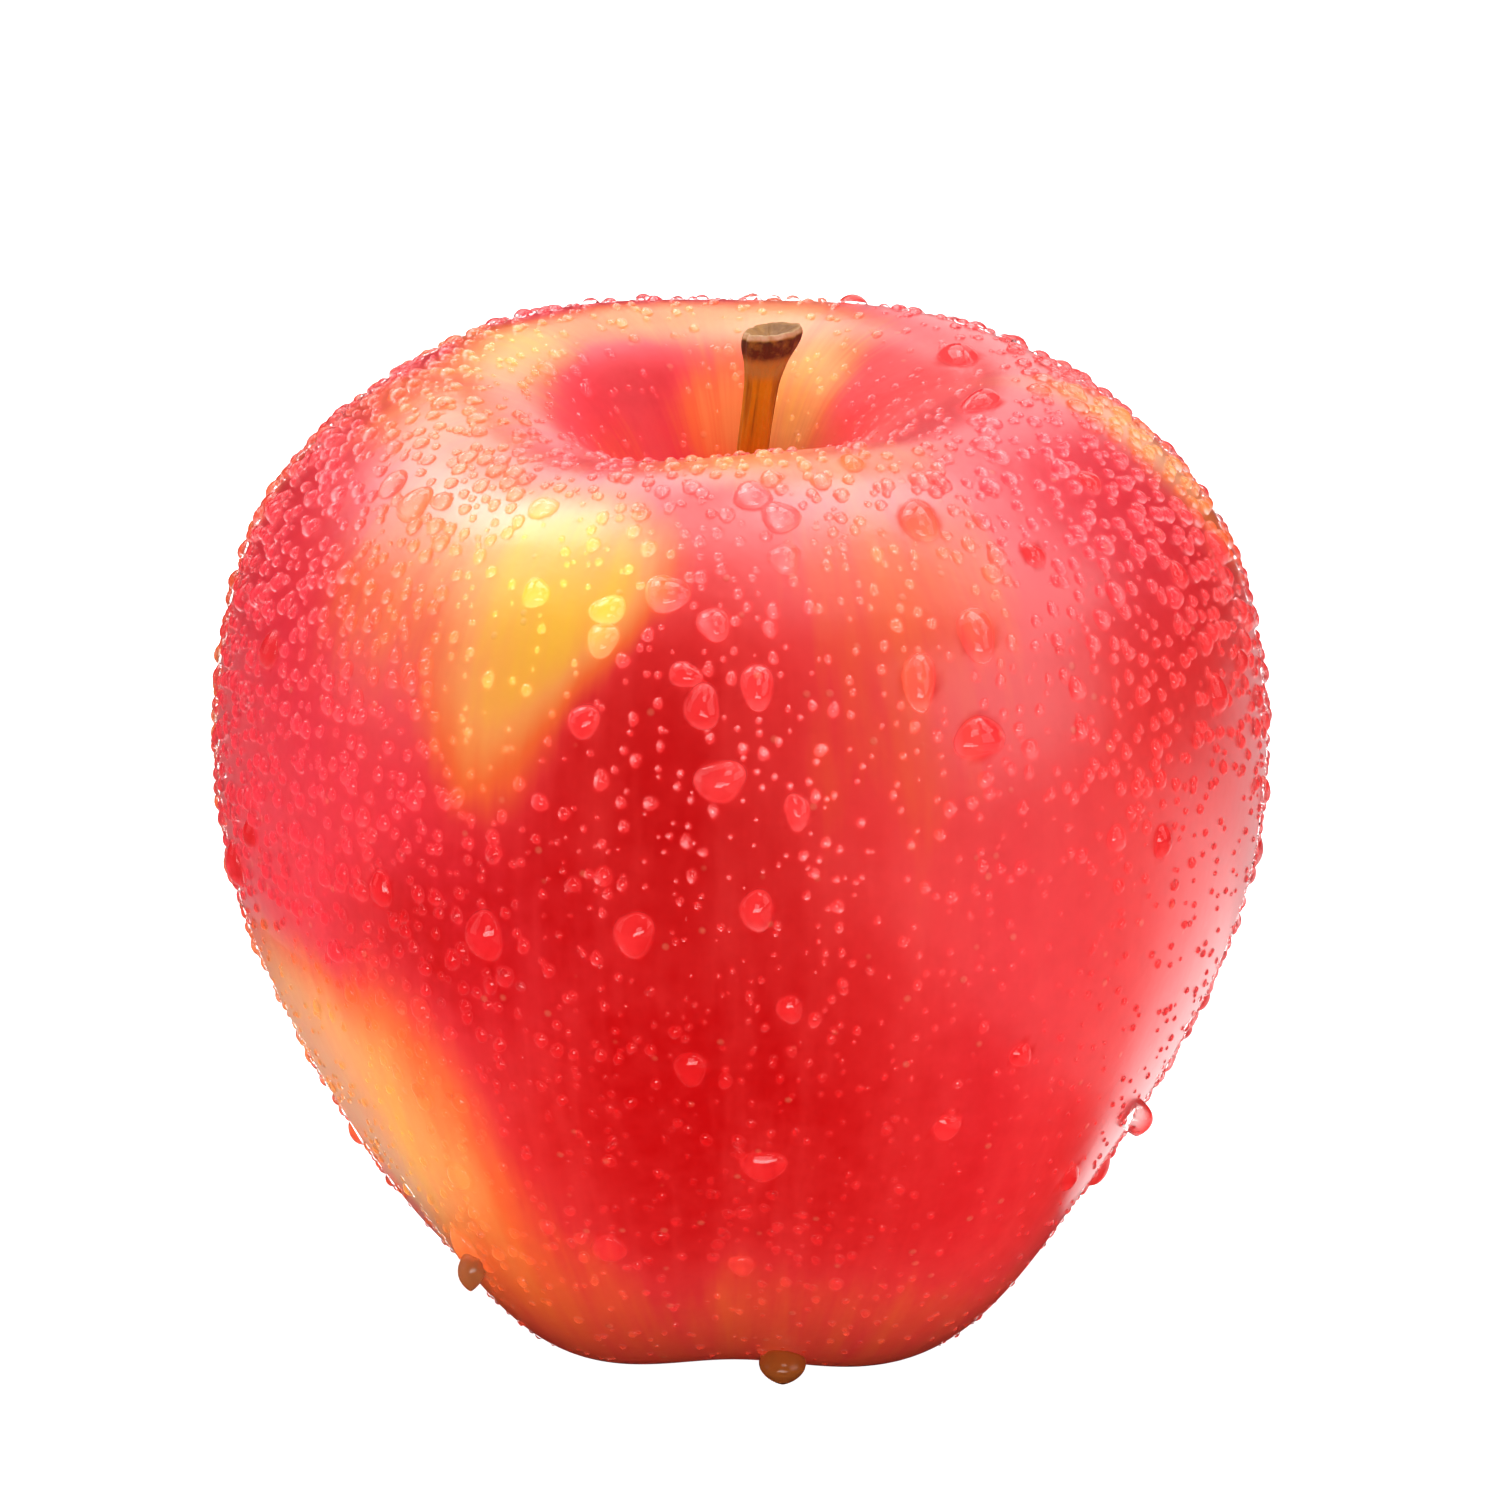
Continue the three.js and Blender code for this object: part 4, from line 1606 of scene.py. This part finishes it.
@dataclass(frozen=True)
class FloorFinish:
    """A white floor, overexposed as in a light studio, and clear when seen from below."""

    colour: Colour = (0.85, 0.85, 0.85)
    mirrored: Colour = (0.03, 0.03, 0.03)
    glow: float = 1.0

    def material(self) -> bpy.types.Material:
        """The floor's material: white to look at and to light by, dim where glossy surfaces mirror it.

        Returns:
            The material.
        """
        nodes = Nodes(bpy.data.materials.new("white_floor"))
        white = nodes.shader("BsdfDiffuse", {"Color": self.colour})
        seen = nodes.shader("AddShader", {0: white, 1: nodes.shader("Emission", {"Strength": self.glow})})
        faced = nodes.mix(nodes.bounced(), seen, nodes.shader("BsdfDiffuse", {"Color": self.mirrored}))
        behind = nodes.make("ShaderNodeNewGeometry").outputs["Backfacing"]
        material = nodes.finish(nodes.mix(behind, faced, nodes.shader("BsdfTransparent")))
        material.cycles.emission_sampling = "NONE"
        return material


def area_light(name: str, size: Pair, brightness: float, reach: Reach) -> bpy.types.Object:
    """Makes a white rectangular light, whose power is its brightness times pi times its area.

    Args:
        name: The light's name.
        size: Its width and height, in metres.
        brightness: How bright it looks, whatever its size.
        reach: What it does.

    Returns:
        The light, not yet placed.
    """
    lamp = bpy.data.lights.new(name, "AREA")
    lamp.shape = "RECTANGLE"
    lamp.size, lamp.size_y = size
    lamp.energy = brightness * np.pi * size[0] * size[1]
    lamp.cycles.use_multiple_importance_sampling = reach is not Reach.FILL
    item = bpy.data.objects.new(name, lamp)
    item.visible_camera = False
    item.visible_diffuse, item.visible_glossy, item.visible_transmission = reach.value
    bpy.context.scene.collection.objects.link(item)
    return item


@dataclass(frozen=True)
class Softbox:
    """A large soft light that faces the fruit, placed by azimuth, elevation and distance."""

    name: str
    azimuth: float
    elevation: float
    width: float
    height: float
    brightness: float
    reach: Reach = Reach.WHOLE
    distance: float = 0.9

    def build(self, target: Vector) -> bpy.types.Object:
        """Makes the light, aimed at target.

        Args:
            target: The point that it faces.

        Returns:
            The light.
        """
        item = area_light(self.name, (self.width, self.height), self.brightness, self.reach)
        turn, rise = np.radians(self.azimuth), np.radians(self.elevation)
        away = Vector((np.cos(turn) * np.cos(rise), np.sin(turn) * np.cos(rise), np.sin(rise)))
        item.location = target + away * self.distance
        item.rotation_mode = "QUATERNION"
        item.rotation_quaternion = away.to_track_quat("Z", "Y")
        return item


@dataclass(frozen=True)
class Card:
    """A white card that lies on the floor and throws light up, from one corner to the other."""

    name: str
    first: Pair
    last: Pair
    brightness: float
    reach: Reach = Reach.SHEEN
    height: float = 0.0005

    def build(self) -> bpy.types.Object:
        """Makes the card as a light that faces up.

        Returns:
            The light.
        """
        (left, front), (right, back) = self.first, self.last
        item = area_light(self.name, (right - left, back - front), self.brightness, self.reach)
        item.location = ((left + right) / 2, (front + back) / 2, self.height)
        item.rotation_euler = (np.pi, 0, 0)
        return item


@dataclass
class Studio:
    """Floor, lights, surroundings and camera."""

    elevation: float = 16.8
    distance: float = 0.48
    aim: tuple[float, float, float] = (0.00073, 0.0, 0.0416)
    frame_width: float = 0.1086
    sensor: float = 36.0
    floor_size: float = 8.0
    ambient: float = 0.0
    backdrop: float = 1.0
    floor: FloorFinish = FloorFinish()
    lights: tuple[Softbox, ...] = (
        Softbox("fill_front", 270, 10, 0.6, 0.5, 1.92, Reach.FILL),
        Softbox("fill_front_left", 235, 10, 0.6, 0.5, 2.3, Reach.FILL),
        Softbox("back_high", 60, 70, 0.4, 0.4, 6.5),
        Softbox("back_right", 75, 45, 0.42, 0.45, 1.1),
        Softbox("back", 110, 45, 0.42, 0.45, 2.9),
        Softbox("back_left", 145, 45, 0.42, 0.45, 3.8),
        Softbox("left_high", 180, 45, 0.42, 0.45, 1.5),
        Softbox("right_high", 0, 45, 0.42, 0.45, 2.7),
        Softbox("right", 330, 20, 0.66, 0.6, 2.0),
        Softbox("left", 185, 14, 0.5, 0.45, 0.95),
        Softbox("back_low", 75, 18, 0.4, 0.45, 1.0),
        Softbox("over", 0, 89, 0.3, 0.3, 2.8),
        Softbox("over_front", 300, 70, 0.4, 0.4, 1.5),
        Softbox("over_left", 180, 70, 0.4, 0.4, 1.4),
        Softbox("back_left_high", 145, 58, 0.34, 0.34, 6.0, Reach.SHEEN),
        Softbox("right_over", 22, 60, 0.34, 0.3, 2.6, Reach.SHEEN),
    )
    glints: tuple[Softbox, ...] = (
        Softbox("glint_high", 285, 52, 0.34, 0.3, 4.5, Reach.GLINT),
        Softbox("glint_front", 266, 8, 0.42, 0.36, 4.4, Reach.GLINT),
        Softbox("glint_low", 272, 0, 0.34, 0.07, 9.0, Reach.GLINT, 0.4),
    )
    cards: tuple[Card, ...] = (
        Card("bounce_left", (-0.30, -0.15), (-0.03, 0.15), 1.38, Reach.FILL),
        Card("bounce_right", (0.03, -0.15), (0.30, 0.15), 0.7, Reach.FILL),
        Card("bounce_front", (-0.15, -0.30), (0.15, -0.03), 0.68, Reach.FILL),
        Card("bounce_near", (-0.06, -0.06), (0.06, 0.05), 0.32, Reach.FILL),
        Card("bounce_right_near", (0.02, -0.08), (0.12, 0.03), 0.5, Reach.FILL),
        Card("card_left", (-0.30, -0.05), (-0.03, 0.25), 0.16),
        Card("card_left_near", (-0.075, 0.0), (-0.02, 0.09), 0.15),
        Card("card_right", (0.03, 0.0), (0.30, 0.06), 1.1),
        Card("card_right_far", (0.03, 0.06), (0.30, 0.25), 0.6),
        Card("card_right_front", (0.05, -0.25), (0.35, 0.0), 0.48),
    )

    def build(self, wet: Sequence[bpy.types.Object]) -> None:
        """Sets up everything that isn't the apple; the glint lights shine on the wet pieces only.

        Args:
            wet: The pieces made of water.
        """
        self._make_floor()
        self._make_surroundings()
        target = Vector((0, 0, self.aim[2]))
        for light in self.lights:
            light.build(target)
        for card in self.cards:
            card.build()
        drops = bpy.data.collections.new("wet")
        for piece in wet:
            drops.objects.link(piece)
        for light in self.glints:
            light.build(target).light_linking.receiver_collection = drops
        self._make_camera()
        bpy.context.scene.view_settings.view_transform = "Standard"
        bpy.context.scene.view_settings.look = "None"

    def _make_floor(self) -> None:
        """A square floor at height zero."""
        half = self.floor_size / 2
        corners = np.array([[-1, -1, 0], [1, -1, 0], [1, 1, 0], [-1, 1, 0]]) * half
        floor = build_mesh("floor", corners, np.array([[0, 1, 2, 3]]), np.zeros((0, 3), int))
        floor.data.materials.append(self.floor.material())

    def _make_surroundings(self) -> None:
        """White behind everything and through the water, and a dark room in all that light bounces from."""
        nodes = Nodes(bpy.data.worlds.new("studio"))
        white, dark = (
            nodes.shader("Background", {"Color": WHITE, "Strength": strength})
            for strength in (self.backdrop, self.ambient)
        )
        world = nodes.finish(nodes.mix(nodes.bounced(), white, dark), "ShaderNodeOutputWorld")
        world.cycles.sampling_method = "NONE"
        bpy.context.scene.world = world

    def _make_camera(self) -> None:
        """A long lens in front of the fruit, a little above its middle."""
        lens = bpy.data.cameras.new("camera")
        lens.sensor_fit = "HORIZONTAL"
        lens.sensor_width = self.sensor
        lens.lens = self.sensor * self.distance / self.frame_width
        camera = bpy.data.objects.new("camera", lens)
        rise = np.radians(self.elevation)
        back = Vector((0, -np.cos(rise), np.sin(rise)))
        camera.location = Vector(self.aim) + back * self.distance
        camera.rotation_mode = "QUATERNION"
        camera.rotation_quaternion = back.to_track_quat("Z", "Y")
        bpy.context.scene.collection.objects.link(camera)
        bpy.context.scene.camera = camera


# ------------------------------------------------------------------ the apple


def settle(pieces: Sequence[bpy.types.Object], slot: str, *nodes: str) -> None:
    """Lets pieces ride on the part, hides the solids that they stand for, and reports them.

    Args:
        pieces: Finished objects.
        slot: The material slot's name; not used.
        nodes: The solids that they stand for.
    """
    for item in pieces:
        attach(item, BODY)
        if nodes:
            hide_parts(*nodes)
        LOG.info("%s: %d triangles", item.name, triangles_in(item))


def main() -> None:
    """Builds the apple and its studio around the fixed frame."""
    logging.basicConfig(level=logging.INFO, format="%(name)s: %(message)s")
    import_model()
    wetness = Wetness()
    settle([Skin().build(wetness.soaking_and_shading())], "skin", "fruit")
    wet = wetness.build()
    settle(wet, "water", "fruit")
    settle([Stem().build()], "stem", "stem")
    settle([Calyx().build()], "calyx", "calyx")
    Studio().build(wet)


if __name__ == "__main__":
    main()
